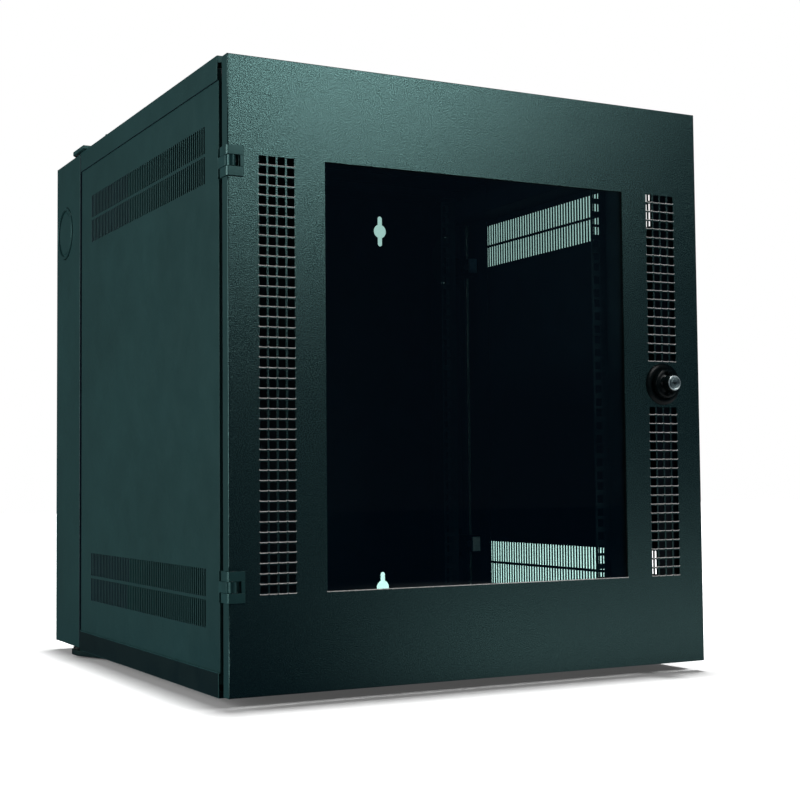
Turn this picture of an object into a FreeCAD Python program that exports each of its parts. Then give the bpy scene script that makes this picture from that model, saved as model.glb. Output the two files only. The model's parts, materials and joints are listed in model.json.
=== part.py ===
"""Double-hinged 19 inch wall cabinet, 13 rack units high.

A shallow section stays on the wall, a deep section with the equipment rails swings away from it
about pins at its left rear edge, and a glazed door swings on the front of that section.

Frame: +X to the right seen from the front, +Y back to the wall, +Z up. The origin is the centre
of the wall section's back face, on the wall. Lengths are millimetres.
"""
import FreeCAD, Part
import os
import re
import Sketcher

SIZES = [
    # overall
    ("width", 584, "outer width of both sections"),
    ("wall_height", 640, "height of the wall section"),
    ("wall_depth", 112, "depth of the wall section"),
    ("main_depth", 496, "depth of the main section"),
    ("seam_gap", 3, "gap between the two sections"),
    ("top_step", 1, "main roof above the wall section's roof"),
    ("bottom_step", 3, "main base below the wall section's floor"),
    # sheet thicknesses and general clearances
    ("sheet", 1.5, "outer sheets and door"),
    ("panel_sheet", 1.2, "side panels"),
    ("frame_sheet", 2, "frames, rails and supports"),
    ("seat_gap", 0.3, "gap between neighbouring pieces that do not clamp each other"),
    ("turn_gap", 0.05, "radial running clearance on pins and spindles"),
    # wall section
    ("wall_lip", 12, "front lips of the wall section"),
    ("keyhole_span_x", 406.4, "keyhole centres across"),
    ("keyhole_from_end", 50, "keyhole centres from the wall section's top and bottom"),
    ("keyhole_head_radius", 10.5, "round middle that passes a bolt head"),
    ("keyhole_slot_radius", 3.9, "half width of the keyhole slots"),
    ("keyhole_length", 46, "keyhole from slot end to slot end"),
    ("knockout_radius", 35, "side knock-out hole"),
    ("knockout_from_wall", 42, "knock-out centre in front of the wall"),
    ("knockout_from_top", 94.5, "knock-out centre below the wall section's top"),
    # pivot between the sections
    ("pivot_inset", 8, "pivot axis inboard of the side face"),
    ("pivot_behind", 20, "pivot axis behind the main section's rear edge"),
    ("pivot_radius", 4, "pivot pins"),
    ("pivot_head", 13, "hexagonal heads of the pivot pins, across flats"),
    ("pivot_head_height", 2, "heads of the pivot pins"),
    ("nose_radius", 12, "round ends of the hinge plates"),
    ("top_plate", 5, "thickness of the top hinge plate"),
    ("bottom_plate", 7, "thickness of the bottom hinge plate"),
    ("top_plate_reach", 25, "top hinge plate on the main roof"),
    ("bottom_plate_reach", 115, "bottom hinge plate under the main base"),
    ("bottom_plate_width", 62, "bottom hinge plate across"),
    ("ear_thickness", 4, "ears in the wall section"),
    ("ear_width", 50, "ears across"),
    ("ear_depth", 62, "ears from front to back"),
    ("ear_fold", 20, "height of the ears' stiffening fold"),
    # main section
    ("skirt", 25.5, "side skirts of the roof and base"),
    ("front_lip", 7.5, "front lips of the roof and base"),
    ("panel_tuck", 12, "side panels behind the skirts"),
    ("panel_hem", 8, "folded front and rear hems of the side panels"),
    ("vent_start", 40.5, "first ventilation slot behind the main section's front edge"),
    ("vent_end", 44, "last ventilation slot in front of the main section's rear edge"),
    ("vent_slots", 16, "slots in one row"),
    ("vent_slot_width", 12, "width of a slot"),
    ("vent_row", 28, "height of one row of slots"),
    ("vent_bar", 3.4, "bar between the two rows of a block"),
    ("vent_from_end", 93, "block centres from the wall section's top and bottom"),
    ("frame_recess", 10, "front frame behind the front edges"),
    ("frame_side", 28, "front frame's face at the sides"),
    ("frame_top", 28, "front frame's face at the top and bottom"),
    ("frame_return", 25, "depth of the front frame's outer return"),
    ("rear_web", 61, "depth of the rear frame"),
    ("rear_rim", 4, "rim of the rear frame"),
    # rails
    ("unit", 44.45, "one rack unit"),
    ("rack_room", 40, "least height above and below the rack units together"),
    ("rail_span", 465.1, "rail hole centres across"),
    ("rail_hole", 9.5, "square rail holes"),
    ("hole_first", 6.35, "first hole above the bottom of a unit"),
    ("hole_second", 22.225, "second hole above the bottom of a unit"),
    ("hole_third", 38.1, "third hole above the bottom of a unit"),
    ("rail_inner", 7.15, "hole centres to the inner edge"),
    ("rail_face", 22.4, "width of the rail face"),
    ("front_rail_web", 65, "front rails' webs, forwards from their faces"),
    ("rear_rail_web", 25, "rear rails' webs, backwards from their faces"),
    ("rail_margin", 3, "rail beyond the units at each end"),
    ("front_rail_set", 88, "front rails behind the front edges"),
    ("rear_rail_set", 38, "rear rail faces in front of the rear edge"),
    ("support_height", 26, "rail supports"),
    # section latches
    ("latch_inset", 24, "bolt axis inboard of the side face"),
    ("latch_span", 400, "bolt axes apart"),
    ("latch_radius", 4, "latch bolts"),
    ("latch_length", 49, "latch bolts"),
    ("latch_travel", 14, "latch bolts' travel"),
    ("guide_depth", 33, "latch guides"),
    ("guide_width", 28, "latch guides, across"),
    ("guide_height", 24, "latch guides, up"),
    ("keeper_width", 36, "keeper plates, across"),
    ("keeper_height", 40, "keeper plates, up"),
    ("keeper_plate", 3, "keeper plates"),
    # door
    ("door_gap", 14, "door's folded edge in front of the main section"),
    ("door_fold", 15, "depth of the door's folded edges"),
    ("door_reveal_top", 5, "door below the main roof"),
    ("door_reveal_bottom", 3, "door above the main base"),
    ("door_round", 1.2, "round of the door's front edges"),
    ("window_side", 105.8, "window opening from the door's sides"),
    ("window_end", 99.4, "window opening from the door's top and bottom"),
    ("band_inset", 52.5, "middle of the perforated bands from the door's edges"),
    ("band_pitch", 10.2, "perforation pitch both ways"),
    ("band_hole", 8.2, "square perforations"),
    ("band_columns", 4, "columns of perforations"),
    ("band_rows", 43, "rows of perforations in the left band"),
    ("lock_rows", 5, "rows left out of the right band for the lock"),
    ("glass_overlap", 10, "glass beyond the window opening"),
    ("gasket", 1.5, "gasket thickness"),
    ("glass", 4, "glass thickness"),
    ("clamp_foot", 10, "glass clamps' feet on the door sheet"),
    ("clamp_lip", 8, "glass clamps' lips over the glass"),
    # door hinges
    ("hinge_offset", 107.5, "hinge middles from the door's top and bottom"),
    ("hinge_height", 31, "door hinges"),
    ("tongue_height", 11, "curled tongue in the hinge's window"),
    ("leaf", 1.8, "thickness of the hinge leaves"),
    ("pin_in", 5, "hinge pin axis inboard of the door's edge"),
    ("pin_back", 2.2, "hinge pin axis behind the door's face"),
    ("pin_radius", 2, "door hinge pins"),
    ("curl_radius", 4, "outer radius of the curled knuckles"),
    ("leaf_front", 16.5, "hinge leaf on the door's face"),
    ("leaf_side", 17, "hinge leaf beside the door's folded edge"),
    ("leaf_window", 12.5, "hinge leaf's window from the door's edge"),
    ("notch_front", 11.6, "door notch behind the hinge, on the face"),
    ("notch_side", 7, "door notch behind the hinge, on the folded edge"),
    ("bracket_turn", 21, "where the tongue turns inboard, behind the door's face"),
    ("bracket_in", 12, "how far it turns inboard"),
    ("bracket_foot", 16, "its foot on the front frame"),
    # lock
    ("escutcheon_radius", 24, "lock escutcheon"),
    ("escutcheon_height", 2.5, "lock escutcheon"),
    ("barrel_radius", 11, "lock barrel behind the door"),
    ("barrel_length", 38, "lock barrel behind the door's face"),
    ("lock_nut_across", 30, "lock nut across its flats"),
    ("lock_nut_height", 6, "lock nut"),
    ("knob_radius", 16.5, "lock knob's rim"),
    ("knob_rim", 9.5, "front of the knob's rim in front of the door"),
    ("knob_hub_radius", 9.5, "knob's hub"),
    ("knob_hub", 21, "front of the knob's hub in front of the door"),
    ("spindle_radius", 6, "knob's spindle"),
    ("spindle_tip_radius", 4, "spindle's tip in the cam"),
    ("cam_set", 4.2, "cam's front behind the frame's face"),
    ("cam_thickness", 2.5, "cam"),
    ("cam_half", 8, "half width of the cam at the spindle"),
    ("cam_reach", 34, "cam from the lock's axis"),
    ("spindle_tip", 6, "spindle's tip from the cam's front"),
    ("strike_width", 22, "wear plate behind the frame"),
    ("strike_height", 44, "wear plate behind the frame"),
    ("key_radius", 7.5, "key cylinder"),
    ("key_face_radius", 8.6, "key cylinder's face"),
    ("key_length", 16, "key cylinder in the hub"),
    ("key_slot", 1.6, "key slot's width"),
]
ALIASES = [name for name, _, _ in SIZES]
WORD = re.compile(r"\b(" + "|".join(ALIASES) + r")\b")

# Datum planes and axes, each a formula of the sizes above
SIDE = "width/2"
WALL_FRONT = "(-wall_depth)"
MAIN_REAR = "(-wall_depth - seam_gap)"
MAIN_FRONT = "(-wall_depth - seam_gap - main_depth)"
DOOR_BACK = f"({MAIN_FRONT} - door_gap)"
DOOR_FRONT = f"({DOOR_BACK} - door_fold)"
WALL_TOP = "(wall_height/2)"
WALL_BOTTOM = "(-wall_height/2)"
MAIN_TOP = "(wall_height/2 + top_step)"
MAIN_BOTTOM = "(-wall_height/2 - bottom_step)"
MAIN_MIDDLE = "((top_step - bottom_step)/2)"
DOOR_TOP = f"({MAIN_TOP} - door_reveal_top)"
DOOR_BOTTOM = f"({MAIN_BOTTOM} + door_reveal_bottom)"
DOOR_MIDDLE = f"({MAIN_MIDDLE} + (door_reveal_bottom - door_reveal_top)/2)"
PANEL_OUTER = "(width/2 - sheet - seat_gap)"
PANEL_INNER = "(width/2 - sheet - seat_gap - panel_sheet)"
FRAME_FACE = f"({MAIN_FRONT} + frame_recess)"
PIVOT_X = "(pivot_inset - width/2)"
PIVOT_Y = f"({MAIN_REAR} + pivot_behind)"
HINGE_X = "(pin_in - width/2)"
HINGE_Y = f"({DOOR_FRONT} + pin_back)"
LOCK_X = "(width/2 - band_inset)"
LOCK_Z = DOOR_MIDDLE
WINDOW_X = f"({SIDE} - window_side)"
WINDOW_LOW = f"({DOOR_BOTTOM} + window_end)"
WINDOW_HIGH = f"({DOOR_TOP} - window_end)"
UNITS = "floor((wall_height - rack_room)/unit)"
RACK_HALF = f"(unit*{UNITS}/2)"
RAIL_HALF = f"({RACK_HALF} + rail_margin)"
RAIL_OUTER = "(rail_span/2 - rail_inner + rail_face)"
FRONT_RAIL = f"({MAIN_FRONT} + front_rail_set)"
REAR_RAIL = f"({MAIN_REAR} - rear_rail_set)"
CAM_FRONT = f"({FRAME_FACE} + cam_set)"
KEYHOLE_SPAN = ("keyhole_span_x/2", "(wall_height/2 - keyhole_from_end)")

PLANES = {"XY": ("XY_Plane", 1), "XZ": ("XZ_Plane", -1), "YZ": ("YZ_Plane", 1)}

doc = FreeCAD.newDocument("WallCabinet")
sheet = doc.addObject("Spreadsheet::Sheet", "Sizes")
for row, (name, value, meaning) in enumerate(SIZES, start=1):
    sheet.set(f"A{row}", name)
    sheet.set(f"B{row}", str(value))
    sheet.set(f"C{row}", meaning)
    sheet.setAlias(f"B{row}", name)
doc.recompute()

pieces = []


def formula(text):
    """Turn a formula of size names into one of spreadsheet cells."""
    return WORD.sub(r"Sizes.\1", str(text))


def value(text):
    """The present value of a formula, for first guesses and edge picking."""
    return float(number_of(formula(text)))


def number_of(text):
    probe = sheet.evalExpression(text.replace("Sizes.", ""))
    return getattr(probe, "Value", probe)


def new_piece(name):
    body = doc.addObject("PartDesign::Body", name)
    body.Label = name
    pieces.append(body)
    return body


def origin_part(body, role):
    return next(item for item in body.Origin.OriginFeatures if item.Role == role)


def new_sketch(body, plane, level, centre=("0", "0")):
    """A sketch on the plane at the given level along its axis, its own origin at centre."""
    role, sign = PLANES[plane]
    sketch = body.newObject("Sketcher::SketchObject", f"{body.Name}_sketch")
    sketch.AttachmentSupport = [(origin_part(body, role), "")]
    sketch.MapMode = "FlatFace"
    sketch.setExpression("AttachmentOffset.Base.x", formula(centre[0]))
    sketch.setExpression("AttachmentOffset.Base.y", formula(centre[1]))
    sketch.setExpression("AttachmentOffset.Base.z", formula(f"{sign}*({level})"))
    return sketch


def locate(sketch, geometry, point, x, y):
    """Tie one point of a sketch element to formulas for its two coordinates."""
    for kind, text in (("DistanceX", x), ("DistanceY", y)):
        number = value(text)
        tie = sketch.addConstraint(Sketcher.Constraint(kind, -1, 1, geometry, point, number))
        sketch.setExpression(f"Constraints[{tie}]", formula(text))


def polygon(sketch, corners):
    """A closed outline through corners, each a pair of formulas."""
    points = [FreeCAD.Vector(value(x), value(y), 0) for x, y in corners]
    first = sketch.GeometryCount
    count = len(points)
    for step in range(count):
        sketch.addGeometry(Part.LineSegment(points[step], points[(step + 1) % count]), False)
    for step in range(count):
        following = first + (step + 1) % count
        sketch.addConstraint(Sketcher.Constraint("Coincident", first + step, 2, following, 1))
    for step, (x, y) in enumerate(corners):
        locate(sketch, first + step, 1, x, y)


def rectangle(sketch, x0, x1, y0, y1):
    polygon(sketch, [(x0, y0), (x1, y0), (x1, y1), (x0, y1)])


def circle(sketch, x, y, radius):
    centre = FreeCAD.Vector(value(x), value(y), 0)
    ring = sketch.addGeometry(Part.Circle(centre, FreeCAD.Vector(0, 0, 1), value(radius)), False)
    locate(sketch, ring, 3, x, y)
    tie = sketch.addConstraint(Sketcher.Constraint("Radius", ring, value(radius)))
    sketch.setExpression(f"Constraints[{tie}]", formula(radius))


def hexagon(sketch, x, y, across):
    """A hexagon with flats above and below its centre."""
    half = f"({across}/2)"
    corner = f"({across}/sqrt(3))"
    polygon(sketch, [(f"{x} + {corner}", y), (f"{x} + {corner}/2", f"{y} + {half}"),
                     (f"{x} - {corner}/2", f"{y} + {half}"), (f"{x} - {corner}", y),
                     (f"{x} - {corner}/2", f"{y} - {half}"), (f"{x} + {corner}/2", f"{y} - {half}")])


def pad(body, sketch, length, symmetric=False):
    """Thicken a sketch towards the positive axis, or to both sides alike."""
    feature = body.newObject("PartDesign::Pad", f"{body.Name}_pad")
    feature.Profile = sketch
    feature.setExpression("Length", formula(length))
    feature.Reversed = sketch.AttachmentSupport[0][0].Role == "XZ_Plane"
    if symmetric:
        feature.SideType = "Symmetric"
    return feature


def cut(body, sketch, length=None):
    """Cut a sketch through the whole piece, or to half the length on each side of it."""
    feature = body.newObject("PartDesign::Pocket", f"{body.Name}_cut")
    feature.Profile = sketch
    feature.SideType = "Symmetric"
    if length is None:
        feature.Type = "ThroughAll"
    else:
        feature.setExpression("Length", formula(length))
    return feature


def revolve(body, sketch, axis="H_Axis"):
    feature = body.newObject("PartDesign::Revolution", f"{body.Name}_turn")
    feature.Profile = sketch
    feature.ReferenceAxis = (sketch, [axis])
    feature.Angle = 360
    return feature


def repeat(body, feature, axis, count, pitch):
    """Repeat a cut along an axis."""
    pattern = body.newObject("PartDesign::LinearPattern", f"{body.Name}_pattern")
    pattern.Originals = [feature]
    pattern.Direction = (origin_part(body, axis), [""])
    pattern.Mode = "Spacing"
    pattern.setExpression("Offset", formula(pitch))
    pattern.setExpression("Occurrences", formula(count))
    body.Tip = pattern
    return pattern


def plate(name, plane, level, thickness, corners):
    """A flat piece: an outline at a level, thickened towards the positive axis."""
    body = new_piece(name)
    sketch = new_sketch(body, plane, level)
    polygon(sketch, corners)
    pad(body, sketch, thickness)
    return body


def box_corners(x0, x1, y0, y1):
    return [(x0, y0), (x1, y0), (x1, y1), (x0, y1)]


def add_block(body, plane, level, thickness, corners):
    sketch = new_sketch(body, plane, level)
    polygon(sketch, corners)
    return pad(body, sketch, thickness)


def add_ring(body, level, depth, outer, inner):
    """A rectangular ring in the XZ plane; outer and inner are x0, x1, z0, z1."""
    sketch = new_sketch(body, "XZ", level)
    rectangle(sketch, *outer)
    rectangle(sketch, *inner)
    return pad(body, sketch, depth)


def mirrored(side, text):
    """The formula for the left (-1) or right (+1) side."""
    return f"{side}*({text})"


# ---------------------------------------------------------------- wall section

def wall_back():
    body = plate("wall_back_panel", "XZ", "-sheet", "sheet",
                 box_corners(f"-{SIDE}", SIDE, WALL_BOTTOM, WALL_TOP))
    places = [(f"{sx}*{KEYHOLE_SPAN[0]}", f"{sz}*{KEYHOLE_SPAN[1]}")
              for sx in (-1, 1) for sz in (-1, 1)]
    reach = "(keyhole_length/2 - keyhole_slot_radius)"
    heads = new_sketch(body, "XZ", "0")
    slots = new_sketch(body, "XZ", "0")
    ends = new_sketch(body, "XZ", "0")
    for x, z in places:
        circle(heads, x, z, "keyhole_head_radius")
        rectangle(slots, f"{x} - keyhole_slot_radius", f"{x} + keyhole_slot_radius",
                  f"{z} - {reach}", f"{z} + {reach}")
        for end in (-1, 1):
            circle(ends, x, f"{z} + {end}*{reach}", "keyhole_slot_radius")
    for sketch in (heads, slots, ends):
        cut(body, sketch)


def wall_side(side, name):
    """One side sheet with its front lip, which stops under the roof and above the floor."""
    body = plate(name, "XY", WALL_BOTTOM, "wall_height", box_corners(
        mirrored(side, f"{SIDE} - sheet"), mirrored(side, SIDE), WALL_FRONT, "-sheet"))
    add_block(body, "XY", f"{WALL_BOTTOM} + sheet", "wall_height - 2*sheet", box_corners(
        mirrored(side, f"{SIDE} - sheet - wall_lip"), mirrored(side, f"{SIDE} - sheet"),
        WALL_FRONT, f"{WALL_FRONT} + sheet"))
    hole = new_sketch(body, "YZ", mirrored(side, SIDE))
    circle(hole, "-knockout_from_wall", f"{WALL_TOP} - knockout_from_top", "knockout_radius")
    cut(body, hole, "4*sheet")


def wall_knockouts():
    """Knock-out discs that lie in the side sheets' holes."""
    body = new_piece("cable_knockouts")
    for side in (-1, 1):
        inner_face = f"{SIDE} - sheet" if side > 0 else f"-{SIDE}"
        sketch = new_sketch(body, "YZ", inner_face)
        circle(sketch, "-knockout_from_wall", f"{WALL_TOP} - knockout_from_top",
               "knockout_radius - seat_gap")
        pad(body, sketch, "sheet")


def wall_cover(name, outer_face, direction):
    """Roof (+1) or floor (-1) sheet between the sides, with its front lip."""
    low = f"{outer_face} - sheet" if direction > 0 else outer_face
    body = plate(name, "XY", low, "sheet",
                 box_corners(f"-({SIDE} - sheet)", f"{SIDE} - sheet", WALL_FRONT, "-sheet"))
    edge = f"{outer_face} - {direction}*sheet"
    tip = f"{outer_face} - {direction}*(sheet + wall_lip)"
    add_block(body, "XZ", WALL_FRONT, "sheet",
              box_corners(f"-({SIDE} - sheet - wall_lip)", f"{SIDE} - sheet - wall_lip",
                          *((tip, edge) if direction > 0 else (edge, tip))))
    hole = new_sketch(body, "XY", outer_face)
    circle(hole, PIVOT_X, PIVOT_Y, "pivot_radius + turn_gap")
    cut(body, hole, "4*sheet")


def wall_ear(name, face, direction):
    """Thick ear under the roof (+1) or on the floor (-1) with a fold along its inner edge."""
    low = f"{face} - ear_thickness" if direction > 0 else face
    left = f"-({SIDE} - sheet)"
    front = f"{WALL_FRONT} + sheet"
    body = plate(name, "XY", low, "ear_thickness",
                 box_corners(left, f"{left} + ear_width", front, f"{front} + ear_depth"))
    fold_low = f"{face} - ear_thickness - ear_fold" if direction > 0 else f"{face} + ear_thickness"
    add_block(body, "XY", fold_low, "ear_fold",
              box_corners(f"{left} + ear_width - frame_sheet", f"{left} + ear_width",
                          front, f"{front} + ear_depth"))
    hole = new_sketch(body, "XY", face)
    circle(hole, PIVOT_X, PIVOT_Y, "pivot_radius + turn_gap")
    cut(body, hole, "4*ear_thickness")


def pivot_pin(name, head_face, tip, direction):
    """Headed pin; the head lies on head_face and the shank runs to tip."""
    body = new_piece(name)
    shank = new_sketch(body, "XY", tip if direction > 0 else head_face)
    circle(shank, PIVOT_X, PIVOT_Y, "pivot_radius")
    pad(body, shank, f"{direction}*({head_face} - ({tip}))")
    head = new_sketch(body, "XY", head_face if direction > 0 else f"{head_face} - pivot_head_height")
    hexagon(head, PIVOT_X, PIVOT_Y, "pivot_head")
    pad(body, head, "pivot_head_height")


def latch_keepers():
    """Plates behind the wall section's right lip, with a hole for each latch bolt."""
    body = new_piece("latch_keepers")
    right = f"{SIDE} - sheet"
    for end in (-1, 1):
        middle = f"{MAIN_MIDDLE} + {end}*latch_span/2"
        add_block(body, "XZ", f"{WALL_FRONT} + sheet", "keeper_plate",
                  box_corners(f"{right} - keeper_width", right,
                              f"{middle} - keeper_height/2", f"{middle} + keeper_height/2"))
    holes = new_sketch(body, "XZ", WALL_FRONT)
    for end in (-1, 1):
        circle(holes, f"{SIDE} - latch_inset", f"{MAIN_MIDDLE} + {end}*latch_span/2",
               "latch_radius + 0.5")
    cut(body, holes)


# ---------------------------------------------------------------- main section

def main_tray(name, outer_face, direction):
    """Roof (+1) or base (-1): a sheet with side skirts and a front lip."""
    inner = f"{outer_face} - {direction}*sheet"
    skirt_end = f"{outer_face} - {direction}*skirt"
    lip_end = f"{outer_face} - {direction}*front_lip"
    inside = f"{SIDE} - sheet"
    body = plate(name, "XZ", MAIN_FRONT, "main_depth", [
        (f"-{SIDE}", outer_face), (SIDE, outer_face), (SIDE, skirt_end), (inside, skirt_end),
        (inside, inner), (f"-({inside})", inner), (f"-({inside})", skirt_end),
        (f"-{SIDE}", skirt_end)])
    add_block(body, "XZ", MAIN_FRONT, "sheet",
              box_corners(f"-({inside})", inside, *sorted_pair(inner, lip_end)))


def sorted_pair(first, second):
    return (first, second) if value(first) < value(second) else (second, first)


def side_panel(side, name):
    """Side sheet with folded hems and two blocks of two rows of ventilation slots."""
    low = f"{MAIN_BOTTOM} + skirt - panel_tuck"
    high = f"{MAIN_TOP} - skirt + panel_tuck"
    left = PANEL_INNER if side > 0 else f"-{PANEL_OUTER}"
    body = plate(name, "YZ", left, "panel_sheet",
                 box_corners(MAIN_FRONT, MAIN_REAR, low, high))
    hem = f"{PANEL_INNER} - panel_sheet" if side > 0 else f"-{PANEL_INNER}"
    add_block(body, "YZ", hem, "panel_sheet",
              box_corners(MAIN_FRONT, f"{MAIN_FRONT} + panel_hem", low, high))
    slots = new_sketch(body, "YZ", left)
    start = f"{MAIN_FRONT} + vent_start"
    for block in (-1, 1):
        middle = f"{block}*(wall_height/2 - vent_from_end)"
        for row in (-1, 1):
            near = f"{middle} + {row}*vent_bar/2"
            far = f"{near} + {row}*vent_row"
            rectangle(slots, start, f"{start} + vent_slot_width", near, far)
    repeat(body, cut(body, slots, "4*panel_sheet"), "Y_Axis", "vent_slots",
           "(main_depth - vent_start - vent_end - vent_slot_width)/(vent_slots - 1)")


def front_frame():
    """Recessed front ring with a return along its outer edge."""
    body = new_piece("front_frame")
    outer = (f"-{PANEL_INNER}", PANEL_INNER, f"{MAIN_BOTTOM} + sheet", f"{MAIN_TOP} - sheet")
    opening = (f"frame_side - {PANEL_INNER}", f"{PANEL_INNER} - frame_side",
               f"{outer[2]} + frame_top", f"{outer[3]} - frame_top")
    add_ring(body, FRAME_FACE, "frame_sheet", outer, opening)
    add_ring(body, f"{FRAME_FACE} + frame_sheet", "frame_return - frame_sheet", outer,
             inset(outer, "frame_sheet"))


def inset(edges, by):
    x0, x1, z0, z1 = edges
    return (f"{x0} + {by}", f"{x1} - {by}", f"{z0} + {by}", f"{z1} - {by}")


def rear_frame():
    """Deep rear ring with a narrow rim at the seam."""
    body = new_piece("rear_frame")
    outer = (f"-{PANEL_INNER}", PANEL_INNER, f"{MAIN_BOTTOM} + sheet", f"{MAIN_TOP} - sheet")
    add_ring(body, f"{MAIN_REAR} - rear_web", "rear_web - frame_sheet", outer,
             inset(outer, "frame_sheet"))
    add_ring(body, f"{MAIN_REAR} - frame_sheet", "frame_sheet", outer, inset(outer, "rear_rim"))


def rail_support(side, end, name):
    """Channel from the front frame to the rear frame, open towards the side panel."""
    outer = f"{PANEL_INNER} - frame_sheet"
    inner = RAIL_OUTER
    web = f"{inner} + frame_sheet"
    tip = f"{MAIN_MIDDLE} + {end}*{RAIL_HALF}"
    root = f"{tip} - {end}*support_height"
    first = f"{FRAME_FACE} + frame_sheet"
    length = f"{MAIN_REAR} - frame_sheet - ({first})"
    plate(name, "XZ", first, length, [
        (mirrored(side, inner), tip), (mirrored(side, outer), tip),
        (mirrored(side, outer), f"{tip} - {end}*frame_sheet"),
        (mirrored(side, web), f"{tip} - {end}*frame_sheet"),
        (mirrored(side, web), f"{root} + {end}*frame_sheet"),
        (mirrored(side, outer), f"{root} + {end}*frame_sheet"),
        (mirrored(side, outer), root), (mirrored(side, inner), root)])


def rail(side, face, name, outside, inside, web_end):
    """Angle rail; its face has three square holes in each rack unit.

    The web runs from the face's outer edge to web_end; outside and inside are the face's two
    surfaces away from the web and towards it.
    """
    inner = "rail_span/2 - rail_inner"
    body = plate(name, "XY", f"{MAIN_MIDDLE} - {RAIL_HALF}", f"2*{RAIL_HALF}", [
        (mirrored(side, inner), outside), (mirrored(side, RAIL_OUTER), outside),
        (mirrored(side, RAIL_OUTER), web_end),
        (mirrored(side, f"{RAIL_OUTER} - frame_sheet"), web_end),
        (mirrored(side, f"{RAIL_OUTER} - frame_sheet"), inside),
        (mirrored(side, inner), inside)])
    holes = new_sketch(body, "XZ", face)
    foot = f"{MAIN_MIDDLE} - {RACK_HALF}"
    middle = mirrored(side, "rail_span/2")
    for height in ("hole_first", "hole_second", "hole_third"):
        rectangle(holes, f"{middle} - rail_hole/2", f"{middle} + rail_hole/2",
                  f"{foot} + {height} - rail_hole/2", f"{foot} + {height} + rail_hole/2")
    repeat(body, cut(body, holes, "4*frame_sheet"), "Z_Axis", UNITS, "unit")


def section_hinge_plate_top():
    edge = f"{PIVOT_X} - nose_radius"
    front = f"{MAIN_REAR} - top_plate_reach"
    body = plate("section_hinge_plate_top", "XY", MAIN_TOP, "top_plate", [
        (edge, PIVOT_Y), (edge, front), (f"{edge} + 3.2*nose_radius", front),
        (f"{edge} + 3.2*nose_radius", f"{front} + 1.6*nose_radius"),
        (f"{PIVOT_X} + nose_radius", PIVOT_Y)])
    finish_hinge_plate(body, MAIN_TOP, "top_plate")


def section_hinge_plate_bottom():
    edge = f"{PIVOT_X} - nose_radius"
    front = f"{MAIN_REAR} - bottom_plate_reach"
    low = f"{MAIN_BOTTOM} - bottom_plate"
    body = plate("section_hinge_plate_bottom", "XY", low, "bottom_plate", [
        (edge, PIVOT_Y), (edge, MAIN_REAR),
        (f"{edge} + 1.7*nose_radius", f"{MAIN_REAR} - 4.5*nose_radius"),
        (f"{edge} + 1.7*nose_radius", front),
        (f"{edge} + bottom_plate_width", front),
        (f"{edge} + bottom_plate_width", f"{MAIN_REAR} - 3*nose_radius"),
        (f"{PIVOT_X} + nose_radius", PIVOT_Y)])
    finish_hinge_plate(body, low, "bottom_plate")


def finish_hinge_plate(body, low, thickness):
    nose = new_sketch(body, "XY", low)
    circle(nose, PIVOT_X, PIVOT_Y, "nose_radius")
    pad(body, nose, thickness)
    hole = new_sketch(body, "XY", low)
    circle(hole, PIVOT_X, PIVOT_Y, "pivot_radius + turn_gap")
    cut(body, hole, f"4*{thickness}")


def latch_guides():
    """Blocks on the rear frame in which the latch bolts slide."""
    body = new_piece("latch_guides")
    outer = f"{PANEL_INNER} - frame_sheet"
    front = f"{MAIN_REAR} - frame_sheet - guide_depth"
    for end in (-1, 1):
        middle = f"{MAIN_MIDDLE} + {end}*latch_span/2"
        add_block(body, "XZ", front, "guide_depth",
                  box_corners(f"{outer} - guide_width", outer,
                              f"{middle} - guide_height/2", f"{middle} + guide_height/2"))
    bores = new_sketch(body, "XZ", front)
    for end in (-1, 1):
        circle(bores, f"{SIDE} - latch_inset", f"{MAIN_MIDDLE} + {end}*latch_span/2",
               "latch_radius + seat_gap")
    cut(body, bores)


def latch_bolt(name, end):
    """Round bolt with a finger tab on its front end, drawn back out of the keeper."""
    body = new_piece(name)
    centre = (f"{SIDE} - latch_inset", f"{MAIN_MIDDLE} + {end}*latch_span/2")
    tip = f"{MAIN_REAR} - 1"
    shank = new_sketch(body, "XZ", f"{tip} - latch_length")
    circle(shank, *centre, "latch_radius")
    pad(body, shank, "latch_length")
    add_block(body, "XZ", f"{tip} - latch_length - 4", "4",
              box_corners(f"{centre[0]} - 6", f"{centre[0]} + 6",
                          f"{centre[1]} - 10", f"{centre[1]} + 10"))


def lock_strike():
    """Wear plate on the back of the front frame, where the cam bears."""
    plate("lock_strike", "XZ", f"{FRAME_FACE} + frame_sheet", "sheet",
          box_corners(f"{PANEL_INNER} - frame_side + 1",
                      f"{PANEL_INNER} - frame_side + 1 + strike_width",
                      f"{LOCK_Z} - strike_height/2", f"{LOCK_Z} + strike_height/2"))


# ---------------------------------------------------------------- door hinges

def at_door_corner(points):
    """Plan points given from the door's left front corner: inboard, behind the face."""
    return [(f"-{SIDE} + {u}", f"{DOOR_FRONT} + {v}") for u, v in points]


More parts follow.
